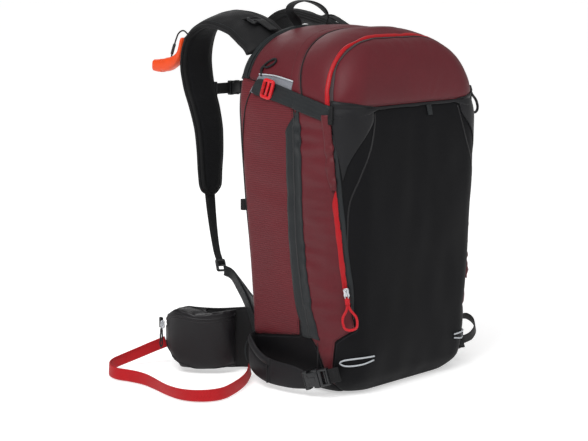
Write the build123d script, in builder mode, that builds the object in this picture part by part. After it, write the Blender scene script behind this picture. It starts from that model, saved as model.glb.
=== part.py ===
"""Ski backpack with an airbag: a framed sack, harness, hip belt and a red leg strap.

Frame: origin at the centre of the base, +Z up, -Y to the outer front, +Y to the wearer.
-X is the wearer's left.  All sizes are millimetres.
"""
from build123d import *
import os
from math import atan2, degrees, hypot

os.makedirs("parts", exist_ok=True)

# ---------------------------------------------------------------- driving dimensions
TOP = 570  # height of the sack without its haul loop
HALF_WIDTH = 167  # at the shoulder of the dome
FOOT_HALF_WIDTH = 128  # flat base
HIP_HALF_WIDTH = 149  # where the base has rounded into the sides
HIP_Z = 25
SHOULDER_Z = 465  # the dome's shoulder arcs start here
SHOULDER_R = 90
FRONT_CORNER_R = 48  # upright front corners in plan
BACK_CORNER_R = 14
PLAN_EASE = 0.2  # the plan is this much wider, so its corners cross the sides cleanly
WALL = 3  # coated fabric with its lining and foam
TAPE = 1.6  # zip tapes, patches and piping stand this far proud
STRAP_BASE = 1.8  # webbing passes over the tapes
STRAP_TOP = 4.0
GAP = 0.5  # running clearance between moving pieces

BACK_EDGE = [(86, 0), (92, 60), (95, 160), (105, 290), (113, 420), (111, TOP)]
FRONT_TOP_Y = -50
FRONT_EDGE = [(-92, 545), (-113, 500), (-125, 430), (-127, 300), (-125, 150), (-116, 30), (-100, 0)]

LID_Z = 455  # seam between the tool pocket and the goggle pocket
BASE_SEAM_Z = 84  # seam of the black base on the sides
SEAM_Y = -90  # front seam of the sides at LID_Z
PIPING_Y = -36
BACK_SEAM_Y = 78

STRAP_X = 90  # centre of a shoulder strap
STRAP_WIDTH = 70
STRAP_THICK = 18
STRAP_LINE = [(112, 546), (150, 565), (200, 579), (243, 579), (281, 555), (296, 512), (290, 467),
              (276, 430), (266, 395), (260, 355), (258, 320), (254, 282)]
WEB = 2  # webbing thickness
STERNUM_Z = 458
STERNUM_Y = 287
GOGGLE_SLOPE = 0.16  # the goggle zip leans back by this much per unit of height


def save(piece, name):
    """Label a finished piece and write it."""
    piece.label = name
    export_step(piece, f"parts/{name}.step")
    return piece


def pack_form(inset):
    """The full sack as one solid, every face drawn in by inset (out when negative)."""
    rise = TOP - SHOULDER_Z
    shoulder_x = HALF_WIDTH - SHOULDER_R
    crown_r = (HALF_WIDTH**2 + rise**2 - 2 * HALF_WIDTH * SHOULDER_R) / (2 * (rise - SHOULDER_R))
    crown_z = TOP - crown_r
    turn = degrees(atan2(SHOULDER_Z - crown_z, shoulder_x))
    base_z = max(inset, 0)
    side = [(HIP_HALF_WIDTH - inset, HIP_Z), (157 - inset, 120), (161 - inset, 250),
            (HALF_WIDTH - inset, SHOULDER_Z)]
    with BuildPart() as form:
        with BuildSketch(Plane.XZ):
            with BuildLine():
                CenterArc((shoulder_x, SHOULDER_Z), SHOULDER_R - inset, 0, turn)
                CenterArc((0, crown_z), crown_r - inset, turn, 180 - 2 * turn)
                CenterArc((-shoulder_x, SHOULDER_Z), SHOULDER_R - inset, 180 - turn, turn)
                Spline([(-x, z) for x, z in side], tangents=[(-0.6, 1), (0, 1)])
                Polyline((inset - HIP_HALF_WIDTH, HIP_Z), (inset - FOOT_HALF_WIDTH, base_z),
                         (FOOT_HALF_WIDTH - inset, base_z), (HIP_HALF_WIDTH - inset, HIP_Z))
                Spline(side, tangents=[(0.6, 1), (0, 1)])
            make_face()
        extrude(amount=200, both=True)
        back = [(y - inset, min(max(z, base_z), TOP - inset)) for y, z in BACK_EDGE]
        front = [(y + inset, min(max(z, base_z), TOP - inset)) for y, z in FRONT_EDGE]
        with BuildSketch(Plane.YZ):
            with BuildLine():
                Spline(back)
                Line(back[-1], (FRONT_TOP_Y, TOP - inset))
                Spline([(FRONT_TOP_Y, TOP - inset)] + front)
                Line(front[-1], back[0])
            make_face()
        extrude(amount=250, both=True, mode=Mode.INTERSECT)
        depth = [-128 + inset, 115 - inset]
        with BuildSketch(Plane.XY):
            with Locations((0, sum(depth) / 2)):
                plan = Rectangle(2 * (HALF_WIDTH + PLAN_EASE - inset), depth[1] - depth[0])
            fillet(plan.vertices().group_by(Axis.Y)[0], FRONT_CORNER_R - inset)
            fillet(vertices().group_by(Axis.Y)[-1], BACK_CORNER_R - inset)
        extrude(amount=TOP + 50, mode=Mode.INTERSECT)
    return form.part


def layer(outer, inner):
    """The skin between two pack forms."""
    with BuildPart() as skin:
        add(outer)
        add(inner, mode=Mode.SUBTRACT)
    return skin.part


def kept(solid, *planes):
    """What is left of a solid on the pointing side of every plane."""
    with BuildPart() as piece:
        add(solid)
        for plane in planes:
            split(bisect_by=plane, keep=Keep.TOP)
    return piece.part


def facing(origin, direction):
    """A cutting plane that keeps what lies towards direction."""
    return Plane(origin=origin, z_dir=direction)


def side_cut(solid, outline, sides=(-1, 1)):
    """The stretches of a skin inside an outline drawn in side view (y, z)."""
    with BuildPart() as piece:
        for side in sides:
            with BuildSketch(Plane.YZ.offset(side * 60)):
                with BuildLine():
                    Polyline(*outline, close=True)
                make_face()
            extrude(amount=side * 190)
        add(solid, mode=Mode.INTERSECT)
    return piece.part


outer_form = pack_form(0)
inner_form = pack_form(WALL)
tape_form = pack_form(-TAPE)
web_floor_form = pack_form(-STRAP_BASE)
web_form = pack_form(-STRAP_TOP)
shell = layer(outer_form, inner_form)
tape_skin = layer(tape_form, outer_form)
web_skin = layer(web_form, web_floor_form)

# ---------------------------------------------------------------- seams, as cutting planes
back_slope = (0, -1, 0.033)
ahead_of_back = facing((0, BACK_SEAM_Y, 0), back_slope)
behind_back = facing((0, BACK_SEAM_Y, 0), tuple(-v for v in back_slope))
tool_slope = (0, 1, -0.08)
behind_tool = facing((0, SEAM_Y, LID_Z), tool_slope)
ahead_of_tool = facing((0, SEAM_Y, LID_Z), tuple(-v for v in tool_slope))
goggle_slope = (0, 1, -GOGGLE_SLOPE)
behind_goggle = facing((0, SEAM_Y, LID_Z), goggle_slope)
ahead_of_goggle = facing((0, SEAM_Y, LID_Z), tuple(-v for v in goggle_slope))
piping_slope = (0, 1, -0.36)
behind_piping = facing((0, PIPING_Y, LID_Z), piping_slope)
ahead_of_piping = facing((0, PIPING_Y, LID_Z), tuple(-v for v in piping_slope))
zip_slope = (0, 1, -0.06)
behind_zip = facing((0, -13, LID_Z), zip_slope)
ahead_of_zip = facing((0, -13, LID_Z), tuple(-v for v in zip_slope))
base_slope = (0, 0.12, 1)
above_base = facing((0, 0, BASE_SEAM_Z), base_slope)
below_base = facing((0, 0, BASE_SEAM_Z), tuple(-v for v in base_slope))
above_lid = facing((0, 0, LID_Z), (0, 0, 1))
below_lid = facing((0, 0, LID_Z), (0, 0, -1))
left_half = facing((0, 0, 0), (-1, 0, 0))
right_half = facing((0, 0, 0), (1, 0, 0))

# ---------------------------------------------------------------- sewn shell of the sack
save(kept(shell, behind_back), "back_panel")
for half, name in ((left_half, "left"), (right_half, "right")):
    save(kept(shell, half, ahead_of_back, behind_zip, above_base, below_lid), f"side_panel_{name}")
save(kept(shell, ahead_of_zip, behind_tool, above_base, below_lid), "side_gussets")
save(kept(shell, ahead_of_back, behind_piping, above_lid), "crown_panel")
save(kept(shell, ahead_of_piping, behind_goggle, above_lid), "collar_panel")
save(kept(shell, ahead_of_goggle, above_lid), "goggle_pocket")
save(kept(shell, ahead_of_tool, below_lid), "tool_pocket")
save(kept(shell, ahead_of_back, behind_tool, below_base), "base_panel")

with BuildPart() as tool_pocket_wall:
    with BuildSketch(Plane.XZ.offset(60)):
        with Locations((0, 236)):
            Rectangle(400, 428)
    extrude(amount=-2)
    add(inner_form, mode=Mode.INTERSECT)
save(tool_pocket_wall.part, "tool_pocket_wall")

# ---------------------------------------------------------------- tapes, patches and piping
side_zip_outline = [(-28, 90), (-66, 90), (-49, 148), (-34, 240), (-32, 430), (-12, LID_Z - 3),
                    (2, LID_Z - 3), (-2, 240), (-12, 148)]
save(side_cut(tape_skin, side_zip_outline), "side_zips")
corner_zip_outline = [(-119, 165), (-109, 165), (-94, 330), (-104, 330)]
corner_zip_tape = save(side_cut(tape_skin, corner_zip_outline, sides=(-1,)), "corner_zip_tape")
patch_outline = [(70, 476), (70, 497), (-2, 492), (-2, 468)]
reflective_patch = side_cut(tape_skin, patch_outline)

ZIP_HALF = 7
goggle_front = facing((0, SEAM_Y - ZIP_HALF, LID_Z), goggle_slope)
goggle_rear = facing((0, SEAM_Y + ZIP_HALF, LID_Z), tuple(-v for v in goggle_slope))
save(kept(tape_skin, goggle_front, goggle_rear, facing((0, 0, LID_Z + 17), (0, 0, 1))), "goggle_zip_tape")
PIPING_HALF = 1.5
piping_front = facing((0, PIPING_Y - PIPING_HALF, LID_Z), piping_slope)
piping_rear = facing((0, PIPING_Y + PIPING_HALF, LID_Z), tuple(-v for v in piping_slope))
save(kept(tape_skin, piping_front, piping_rear, facing((0, 0, LID_Z + 22), (0, 0, 1))), "seam_piping")

with BuildPart() as pocket_wings:
    for side in (-1, 1):
        with BuildSketch(Plane.XZ.offset(90)):
            with BuildLine():
                Polyline((side * 170, 462), (side * 104, 450), (side * 158, 318), (side * 170, 330), close=True)
            make_face()
        extrude(amount=60)
    add(tape_skin, mode=Mode.INTERSECT)
    add(corner_zip_tape, mode=Mode.SUBTRACT)
save(pocket_wings.part, "pocket_wings")

with BuildPart() as cord_loops:
    for side in (-1, 1):
        with BuildSketch(Plane.XZ.offset(80)):
            with Locations((side * 132, 66)):
                SlotOverall(44, 12)
                SlotOverall(39, 7, mode=Mode.SUBTRACT)
        extrude(amount=60)
    add(web_skin, mode=Mode.INTERSECT)
with BuildPart() as reflective_trim:
    add(reflective_patch)
    add(cord_loops.part)
save(reflective_trim.part, "reflective_trim")

strap_outline = [(84, 496), (-96, 460), (-91, 436), (88, 470)]
save(side_cut(web_skin, strap_outline), "compression_straps")


def plate_with_slots(where, length, width, thick):
    """A ladder lock: a moulded frame with two slots across it, centred on a plane."""
    with BuildPart(where) as lock:
        Box(length, width, thick)
        fillet(lock.edges().filter_by(Axis(where.origin, where.z_dir)), 3)
        with Locations((-length / 5, 0), (length / 5, 0)):
            Box(length / 5, width - 8, 2 * thick, mode=Mode.SUBTRACT)
    return lock.part


STRAP_PITCH = (0, 0.98, 0.19)  # the compression strap rises to the back
LOCK_LENGTH = 24
LOCK_WIDTH = 34
LOCK_THICK = 5
for side, name in ((-1, "left"), (1, "right")):
    seat = Plane(origin=(side * (HALF_WIDTH + STRAP_TOP + GAP + LOCK_THICK / 2), 38, 477.5),
                 x_dir=STRAP_PITCH, z_dir=(side, 0, 0))
    save(plate_with_slots(seat, LOCK_LENGTH, LOCK_WIDTH, LOCK_THICK), f"compression_lock_{name}")

# ---------------------------------------------------------------- frame and airbag inside
with BuildPart() as frame_sheet:
    with BuildSketch(Plane.XZ.offset(-70)):
        with Locations((0, 285)):
            RectangleRounded(220, 480, 40)
    extrude(amount=-2)
save(frame_sheet.part, "frame_sheet")

with BuildPart() as frame_stays:
    for x in (-80, 80):
        with BuildSketch(Plane.XY.offset(50)):
            with Locations((x, 66.9)):
                Circle(3)
        extrude(amount=470)
save(frame_stays.part, "frame_stays")

with BuildPart() as airbag:
    with BuildSketch(Plane.YZ):
        with Locations((18, 515)):
            RectangleRounded(76, 62, 14)
    extrude(amount=84, both=True)
    add(pack_form(WALL + 4), mode=Mode.INTERSECT)
save(airbag.part, "airbag")

with BuildPart() as fan_unit:
    with BuildSketch(Plane.XZ.offset(-2)):
        with Locations((0, 420)):
            Circle(48)
    extrude(amount=-52)
    with BuildSketch(Plane.XY.offset(460)):
        with Locations((0, 28)):
            Rectangle(36, 36)
    extrude(amount=24)
save(fan_unit.part, "fan_unit")

with BuildPart() as power_unit:
    with BuildSketch(Plane.XZ.offset(-14)):
        with Locations((0, 318)):
            RectangleRounded(96, 84, 12)
    extrude(amount=-44)
save(power_unit.part, "power_unit")

CONDUIT_R = 3
conduit_route = [(-48, 28, 440), (-78, 28, 446), (-96, 40, 478), (-96, 54, 526), (-96, 92, 546)]
with BuildPart() as trigger_conduit:
    with BuildLine() as conduit_path:
        FilletPolyline(*conduit_route, radius=12)
    with BuildSketch(Plane(origin=conduit_route[0], z_dir=conduit_path.line % 0)):
        Circle(CONDUIT_R)
    sweep(path=conduit_path.line)
save(trigger_conduit.part, "trigger_conduit")

# ---------------------------------------------------------------- back padding
with BuildPart() as back_pads:
    for x in (-62, 62):
        with BuildSketch(Plane.XZ.offset(-80)):
            with Locations((x, 315)):
                RectangleRounded(88, 370, 30)
        extrude(amount=-46)
    with BuildSketch(Plane.YZ):
        with BuildLine():
            Polyline((80, 120), (105, 125), (110, 220), (119, 320), (125, 430), (124, 510), (80, 510), close=True)
        make_face()
    extrude(amount=120, both=True, mode=Mode.INTERSECT)
    add(outer_form, mode=Mode.SUBTRACT)
save(back_pads.part, "back_pads")

with BuildPart() as lumbar_pad:
    with BuildSketch(Plane.XZ.offset(-80)):
        with Locations((0, 62)):
            RectangleRounded(200, 92, 24)
    extrude(amount=-26)
    fillet(lumbar_pad.faces().sort_by(Axis.Y)[-1].edges(), 6)
    add(outer_form, mode=Mode.SUBTRACT)
save(lumbar_pad.part, "lumbar_pad")

# ---------------------------------------------------------------- webbing tabs and tool holders
with BuildPart() as webbing_tabs:
    for side in (-1, 1):
        with BuildSketch(Plane.XZ.offset(-100)):
            with Locations((side * 155, 286)):
                Rectangle(24, 18)
        extrude(amount=-10)
        with BuildSketch(Plane.YZ.offset(side * 140)):
            with Locations((58, 514)):
                SlotOverall(30, 12, rotation=65)
                SlotOverall(22, 4, rotation=65, mode=Mode.SUBTRACT)
        extrude(amount=side * 20)
    for x in (-36, 37):
        with BuildSketch(Plane.XY.offset(550)):
            with Locations((x - 1, 105)):
                Rectangle(12, 14)
        extrude(amount=21)
    add(outer_form, mode=Mode.SUBTRACT)
save(webbing_tabs.part, "webbing_tabs")

# ---------------------------------------------------------------- haul loop
HAUL_Y = 105
with BuildPart() as haul_loop:
    with BuildSketch(Plane.XZ.offset(8 - HAUL_Y)):
        with BuildLine():
            Spline((-38, 578), (-53, 591), (-53, 604), (-32, 611), (-6, 611), (18, 604), (35, 591), (38, 579))
        trace(line_width=4)
    extrude(amount=-16)
save(haul_loop.part, "haul_loop")


# ---------------------------------------------------------------- paired outer pieces
def mirrored(solid, side):
    """The left-hand piece itself, or its mirror image for the right-hand side."""
    return solid if side < 0 else mirror(solid, about=Plane.YZ)


# Ski carry loop: a padded band that bows out low on the side.
with BuildPart() as ski_loop:
    with BuildSketch(Plane.XY):
        with BuildLine():
            Spline((-145, 91), (-172, 85), (-189, 60), (-195, 20), (-192, -24), (-184, -52))
            Line((-184, -52), (-179, -50))
            Spline((-179, -50), (-186, -23), (-189, 20), (-183, 56), (-169, 78), (-145, 84))
            Line((-145, 84), (-145, 91))
        make_face()
    extrude(amount=80)
    with BuildSketch(Plane.YZ):
        with BuildLine():
            Polyline((-56, 8), (28, 6), (50, 26), (92, 30), (92, 74), (60, 70), (20, 54), (-56, 42), close=True)
        make_face()
    extrude(amount=-220, mode=Mode.INTERSECT)
    add(outer_form, mode=Mode.SUBTRACT)

# Side-release buckle of the ski loop, set along a line that runs forward, in and up.
BUCKLE_START = Vector(-180, -53, 25)
BUCKLE_AIM = Vector(14, -40, 12).normalized()
BUCKLE_OUT = BUCKLE_AIM.cross(Vector(0, 0, 1)).normalized()
SOCKET_LENGTH = 26
PLUG_LENGTH = 16
PRONG_LENGTH = 14
buckle_plane = Plane(origin=BUCKLE_START, x_dir=BUCKLE_AIM, z_dir=BUCKLE_OUT)
with BuildPart(buckle_plane) as ski_socket:
    with Locations((SOCKET_LENGTH / 2, 0)):
        Box(SOCKET_LENGTH, 30, 10)
    with Locations((SOCKET_LENGTH - PRONG_LENGTH / 2, 0)):
        Box(PRONG_LENGTH + 2, 23, 6, mode=Mode.SUBTRACT)
with BuildPart() as ski_band:
    add(ski_loop.part)
    add(ski_socket.part)
with BuildPart(buckle_plane) as ski_plug:
    with Locations((SOCKET_LENGTH + GAP + PLUG_LENGTH / 2, 0)):
        Box(PLUG_LENGTH, 28, 9)
    with Locations((SOCKET_LENGTH + GAP - PRONG_LENGTH / 2 + 1, -7), (SOCKET_LENGTH + GAP - PRONG_LENGTH / 2 + 1, 7)):
        Box(PRONG_LENGTH, 5, 4)
PLUG_END = SOCKET_LENGTH + GAP + PLUG_LENGTH
with BuildPart(buckle_plane) as ski_tail_blank:
    with Locations((PLUG_END + 9, 0, 0)):
        Box(18 - 2 * GAP, 24, WEB)
with BuildPart() as ski_tail:
    add(ski_tail_blank.part)
    add(outer_form, mode=Mode.SUBTRACT)

# Triangular harness anchor at the foot of the back, with the lower ladder lock at its tip.
anchor_plane = Plane(origin=(-150, 94, 0), x_dir=(0.4, 0.917, 0), z_dir=(0.917, -0.4, 0))
with BuildPart() as harness_anchor:
    with BuildSketch(anchor_plane):
        with BuildLine():
            Polyline((-12, 76), (6, 82), (20, 122), (108, 140), (117, 152), (108, 157), (-12, 128), close=True)
        make_face()
    extrude(amount=3)
    add(outer_form, mode=Mode.SUBTRACT)

LOWER_LOCK = (-110, 216, 163)  # centre of the lower ladder lock
WEB_FOOT = (218, 172)  # (y, z) where the lower webbing leaves it
WEB_HEAD = (252, 279)  # (y, z) where it meets the strap's end
web_aim = (0, WEB_HEAD[0] - WEB_FOOT[0], WEB_HEAD[1] - WEB_FOOT[1])
lower_seat = Plane(origin=LOWER_LOCK, x_dir=web_aim, z_dir=(0, web_aim[2], -web_aim[1]))
lower_lock = plate_with_slots(lower_seat, 22, 34, LOCK_THICK)

with BuildPart() as lower_webbing:
    with BuildSketch(Plane.YZ.offset(-121)):
        with BuildLine():
            Polyline((WEB_FOOT[0] + 2, WEB_FOOT[1] + 4), WEB_HEAD, (WEB_HEAD[0] + WEB, WEB_HEAD[1]),
                     (WEB_FOOT[0] + 2 + WEB, WEB_FOOT[1] + 4), close=True)
        make_face()
    extrude(amount=25)

# Shoulder strap: a padded band bowed back over the shoulder, tapering at its lower end.
with BuildPart() as shoulder_strap:
    with BuildSketch(Plane.YZ.offset(-STRAP_X - STRAP_WIDTH / 2)):
        with BuildLine():
            Spline(STRAP_LINE)
        trace(line_width=STRAP_THICK)
    extrude(amount=STRAP_WIDTH)
    with BuildSketch(Plane.XZ):
        with BuildLine():
            Polyline((-STRAP_X - 35, 620), (-STRAP_X + 35, 620), (-STRAP_X + 35, 370), (-STRAP_X + 12, 270),
                     (-STRAP_X - 26, 270), (-STRAP_X - 35, 370), close=True)
        make_face()
    extrude(amount=-400, mode=Mode.INTERSECT)
    with BuildSketch(Plane.XZ.offset(-80)):
        Rectangle(400, 1400)
    extrude(amount=-(116 - 80), mode=Mode.SUBTRACT)

# Load lifter: webbing and its ladder lock on top of the strap, close to the pack.
lifter_seat = Plane(origin=(-STRAP_X, 146, 578.5), x_dir=(0, 0.94, 0.34), z_dir=(0, -0.34, 0.94))
lifter_lock = plate_with_slots(lifter_seat, 22, 32, LOCK_THICK)
with BuildPart() as load_lifter:
    with BuildSketch(Plane.YZ.offset(-STRAP_X - 10)):
        with BuildLine():
            Polyline((116, 570), (136, 577), (135, 579), (116, 572), close=True)
        make_face()
    extrude(amount=20)
    add(lifter_lock)

# Sternum strap halves: webbing on the straps' inner edges, joined by a small buckle.
INNER_EDGE_X = STRAP_X - STRAP_WIDTH / 2
with BuildPart() as sternum_socket:
    with BuildSketch(Plane.XY.offset(STERNUM_Z - 10)):
        with Locations((-(INNER_EDGE_X + 21) / 2, STERNUM_Y)):
            Rectangle(INNER_EDGE_X - 21 - 2 * GAP, WEB)
    extrude(amount=20)
    with BuildSketch(Plane.XY.offset(STERNUM_Z - 13)):
        with Locations((-10, STERNUM_Y)):
            Rectangle(23, 9)
    extrude(amount=26)
    with BuildSketch(Plane.XY.offset(STERNUM_Z - 10)):
        with Locations((-5.5, STERNUM_Y)):
            Rectangle(16, 5.5)
    extrude(amount=20, mode=Mode.SUBTRACT)
with BuildPart() as sternum_plug:
    with BuildSketch(Plane.XY.offset(STERNUM_Z - 10)):
        with Locations(((INNER_EDGE_X + 15) / 2, STERNUM_Y)):
            Rectangle(INNER_EDGE_X - 15 - 2 * GAP, WEB)
    extrude(amount=20)
    with BuildSketch(Plane.XY.offset(STERNUM_Z - 12)):
        with Locations((9, STERNUM_Y)):
            Rectangle(14, 8)
    extrude(amount=24)
    for z in (-7, 3):
        with BuildSketch(Plane.XY.offset(STERNUM_Z + z)):
            with Locations((-3, STERNUM_Y)):
                Rectangle(12, 3.5)
        extrude(amount=4)
save(sternum_socket.part, "sternum_socket_strap")
save(sternum_plug.part, "sternum_plug_strap")

# Hip wing: a curved pad that flexes on an upright line beside the lumbar pad.
with BuildPart() as hip_wing:
    with BuildSketch(Plane.XY):
        with BuildLine():
            Spline((-112, 102), (-128, 107), (-142, 124), (-172, 150), (-198, 190), (-211, 236))
            Line((-211, 236), (-198, 241))
            Spline((-198, 241), (-185, 197), (-160, 162), (-132, 138), (-118, 121), (-112, 116))
            Line((-112, 116), (-112, 102))
        make_face()
    extrude(amount=140)
    with BuildSketch(Plane.YZ):
        with BuildLine():
            Polyline((98, 14), (98, 108), (160, 106), (206, 106), (244, 90), (244, 40), (205, 7),
                         (120, 6), close=True)
        make_face()
        fillet(vertices().group_by(Axis.X)[-1], 24)
    extrude(amount=-260, mode=Mode.INTERSECT)
with BuildPart() as hip_pocket:
    with BuildSketch(Plane.XY):
        with BuildLine():
            Spline((-152, 130), (-183, 138), (-213, 165), (-228, 205), (-222, 236))
            Polyline((-222, 236), (-206, 234), (-185, 186), (-160, 152), (-142, 132), (-152, 130))
        make_face()
    extrude(amount=140)
    with BuildSketch(Plane.YZ):
        with BuildLine():
            Polyline((120, 7), (120, 110), (165, 107), (202, 113), (237, 92), (237, 42), (196, 5), close=True)
        make_face()
        fillet(vertices().group_by(Axis.X)[-1], 22)
    extrude(amount=-260, mode=Mode.INTERSECT)
    add(hip_wing.part, mode=Mode.SUBTRACT)
with BuildPart() as hip_buckle:
    with BuildSketch(Plane.XY.offset(42)):
        with BuildLine():
            Polyline((-199, 242.5), (-196, 243), (-183, 240), (-163, 196), (-161, 197), (-181, 243),
                     (-196, 246), (-200, 245), close=True)
        make_face()
    extrude(amount=36)
    hip_buckle_plane = Plane(origin=(-152, 178, 60), x_dir=(0.46, -0.89, 0), z_dir=(0.89, 0.46, 0))
    with BuildSketch(hip_buckle_plane):
        RectangleRounded(46, 46, 6)
    extrude(amount=9)
    add(hip_wing.part, mode=Mode.SUBTRACT)

# Hip pocket zip slider with its cord pull.
HIP_SLIDER = (-229.2, 232, 76)
with BuildPart() as hip_slider:
    with BuildSketch(Plane.YZ.offset(HIP_SLIDER[0])):
        with Locations((HIP_SLIDER[1], HIP_SLIDER[2])):
            RectangleRounded(9, 13, 2)
        with Locations((HIP_SLIDER[1], HIP_SLIDER[2] - 24)):
            SlotOverall(38, 6, rotation=90)
            SlotOverall(33, 2, rotation=90, mode=Mode.SUBTRACT)
    extrude(amount=-3)

for side, name in ((-1, "left"), (1, "right")):
    save(mirrored(ski_band.part, side), f"ski_loop_{name}")
    save(mirrored(ski_plug.part, side), f"ski_plug_{name}")
    save(mirrored(harness_anchor.part, side), f"harness_anchor_{name}")
    save(mirrored(lower_webbing.part, side), f"lower_webbing_{name}")
    save(mirrored(shoulder_strap.part, side), f"shoulder_strap_{name}")
    save(mirrored(load_lifter.part, side), f"load_lifter_{name}")
    save(mirrored(hip_wing.part, side), f"hip_wing_{name}")
    save(mirrored(hip_pocket.part, side), f"hip_pocket_{name}")
    save(mirrored(hip_buckle.part, side), f"hip_buckle_{name}")
    save(mirrored(hip_slider.part, side), f"hip_slider_{name}")
with BuildPart() as ski_tails:
    add(ski_tail.part)
    mirror(about=Plane.YZ)
save(ski_tails.part, "ski_tails")
with BuildPart() as lower_locks:
    add(lower_lock)
    mirror(about=Plane.YZ)
save(lower_locks.part, "lower_locks")

# ---------------------------------------------------------------- trigger on the left strap
with BuildPart() as trigger_pouch:
    with BuildSketch(Plane.YZ.offset(-104)):
        with BuildLine():
            Polyline((296, 556), (316, 548), (318, 470), (302, 462), (300, 500), close=True)
        make_face()
    extrude(amount=28)
    add(shoulder_strap.part, mode=Mode.SUBTRACT)
save(trigger_pouch.part, "trigger_pouch")

with BuildPart() as trigger_handle:
    with BuildSketch(Plane.YZ.offset(-101)):
        with BuildLine():
            Polyline((321, 546), (333, 547), (343, 526), (368, 511), (398, 507), (405, 494), (392, 485),
                     (356, 487), (329, 500), (320, 520), close=True)
        make_face()
        fillet(vertices().sort_by(Axis.X)[-2:], 5)
    extrude(amount=22)
save(trigger_handle.part, "trigger_handle")

# ---------------------------------------------------------------- zip sliders and pulls
# Corner zip: the slider runs up a straight line a little clear of the tape.
CORNER_FOOT = Vector(-154.4, -116.8, 172)
CORNER_HEAD = Vector(-166.1, -100.6, 322)
corner_aim = (CORNER_HEAD - CORNER_FOOT).normalized()
corner_out = Vector(-0.82, -0.57, 0)
corner_plane = Plane(origin=CORNER_FOOT, x_dir=corner_aim, z_dir=corner_out)
with BuildPart() as corner_slider:
    with BuildSketch(corner_plane):
        RectangleRounded(14, 9, 2)
    extrude(amount=4)
save(corner_slider.part, "corner_slider")
with BuildPart() as corner_pull:
    with BuildSketch(corner_plane.offset(0.5)):
        with Locations((-34, 0)):
            Ellipse(24, 10)
            Ellipse(21, 7, mode=Mode.SUBTRACT)
    extrude(amount=3)
save(corner_pull.part, "corner_pull")

# Goggle zip: the slider rides round the dome's right shoulder arc.
goggle_plane = Plane(origin=(HALF_WIDTH + TAPE + 1.7, -86.5, 476), x_dir=(0, 0.16, 1), z_dir=(1, 0, 0))
with BuildPart() as goggle_slider:
    with BuildSketch(goggle_plane):
        RectangleRounded(14, 9, 2)
    extrude(amount=4)
save(goggle_slider.part, "goggle_slider")
with BuildPart() as goggle_pull:
    with BuildSketch(Plane.XZ.offset(86)):
        with Locations((193, 448)):
            SlotOverall(50, 18, rotation=-65)
            SlotOverall(44, 12, rotation=-65, mode=Mode.SUBTRACT)
    extrude(amount=-3)
save(goggle_pull.part, "goggle_pull")

# ---------------------------------------------------------------- red leg strap
# Flat webbing on its edge: it leaves the left hip wing's tip, lies on the floor in one loose
# loop and comes back under the ski loop to the root of the wing.
LEG_WIDTH = 20
LEG_THICK = 2.4
leg_route = [(-205, 251, 40), (-222, 262, 33), (-245, 278, 22), (-270, 288, 14), (-298, 284, 11.5),
             (-322, 262, 11.2), (-332, 232, 11.4), (-322, 205, 11.2), (-319, 172, 11.4), (-327, 135, 11.2),
             (-338, 95, 11.4), (-338, 58, 11.2), (-320, 30, 11.4), (-290, 19, 11.2), (-256, 30, 11.4),
             (-222, 46, 11.2), (-190, 66, 11.4), (-157, 96, 11.3)]
points = [Vector(p) for p in leg_route]
runs = [b - a for a, b in zip(points, points[1:])]
radii = []
for before, after in zip(runs, runs[1:]):
    half_turn = before.get_angle(after) / 2
    shorter = min(before.length, after.length)
    radii.append(0.45 * shorter / Vector(1, 0, 0).rotate(Axis.Z, half_turn).Y
                 * Vector(1, 0, 0).rotate(Axis.Z, half_turn).X)
with BuildPart() as leg_strap:
    with BuildLine() as leg_path:
        FilletPolyline(*leg_route, radius=radii)
    with BuildSketch(Plane(origin=leg_route[0], x_dir=(0, 0, 1), z_dir=leg_path.line % 0)):
        Rectangle(LEG_WIDTH, LEG_THICK)
    sweep(path=leg_path.wire())
save(leg_strap.part, "leg_strap")
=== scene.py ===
"""The looks of the ski backpack: sewn panels, padding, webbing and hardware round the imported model.

Shapes are worked out in millimetres and turned into metres when a piece is made.
"""
import math

import bmesh
import bpy
import numpy as np
from mathutils import Matrix, Vector, noise
from mathutils.bvhtree import BVHTree
from mathutils.kdtree import KDTree


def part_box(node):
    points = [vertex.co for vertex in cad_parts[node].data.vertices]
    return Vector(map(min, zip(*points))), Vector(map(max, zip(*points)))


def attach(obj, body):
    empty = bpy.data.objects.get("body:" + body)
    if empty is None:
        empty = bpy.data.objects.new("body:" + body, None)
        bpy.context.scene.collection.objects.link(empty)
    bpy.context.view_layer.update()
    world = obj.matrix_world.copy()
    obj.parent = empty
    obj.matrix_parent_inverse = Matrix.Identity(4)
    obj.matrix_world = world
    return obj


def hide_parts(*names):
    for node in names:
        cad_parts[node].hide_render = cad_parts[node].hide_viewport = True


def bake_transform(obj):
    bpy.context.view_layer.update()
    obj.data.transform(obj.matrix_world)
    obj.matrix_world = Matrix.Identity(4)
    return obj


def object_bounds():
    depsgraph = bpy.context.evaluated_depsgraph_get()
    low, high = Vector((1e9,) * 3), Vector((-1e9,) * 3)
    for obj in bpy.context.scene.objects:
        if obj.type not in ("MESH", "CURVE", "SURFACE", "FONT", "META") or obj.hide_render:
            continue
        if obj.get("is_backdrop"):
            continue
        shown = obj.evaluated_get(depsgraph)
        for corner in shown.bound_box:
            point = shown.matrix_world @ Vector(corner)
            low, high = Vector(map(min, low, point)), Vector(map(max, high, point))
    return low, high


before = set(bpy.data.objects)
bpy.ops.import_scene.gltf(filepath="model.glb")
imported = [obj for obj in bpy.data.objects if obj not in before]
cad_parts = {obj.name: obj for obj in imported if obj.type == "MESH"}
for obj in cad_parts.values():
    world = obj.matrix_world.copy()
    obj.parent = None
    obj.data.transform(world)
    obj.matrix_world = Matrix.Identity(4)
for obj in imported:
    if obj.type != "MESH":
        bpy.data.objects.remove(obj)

CAD_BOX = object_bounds()
scene = bpy.context.scene
scene.view_settings.view_transform = "Standard"

# ---- camera and light
def placed(name, data):
    """A new object in the scene."""
    obj = bpy.data.objects.new(name, data)
    scene.collection.objects.link(obj)
    return obj


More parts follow.
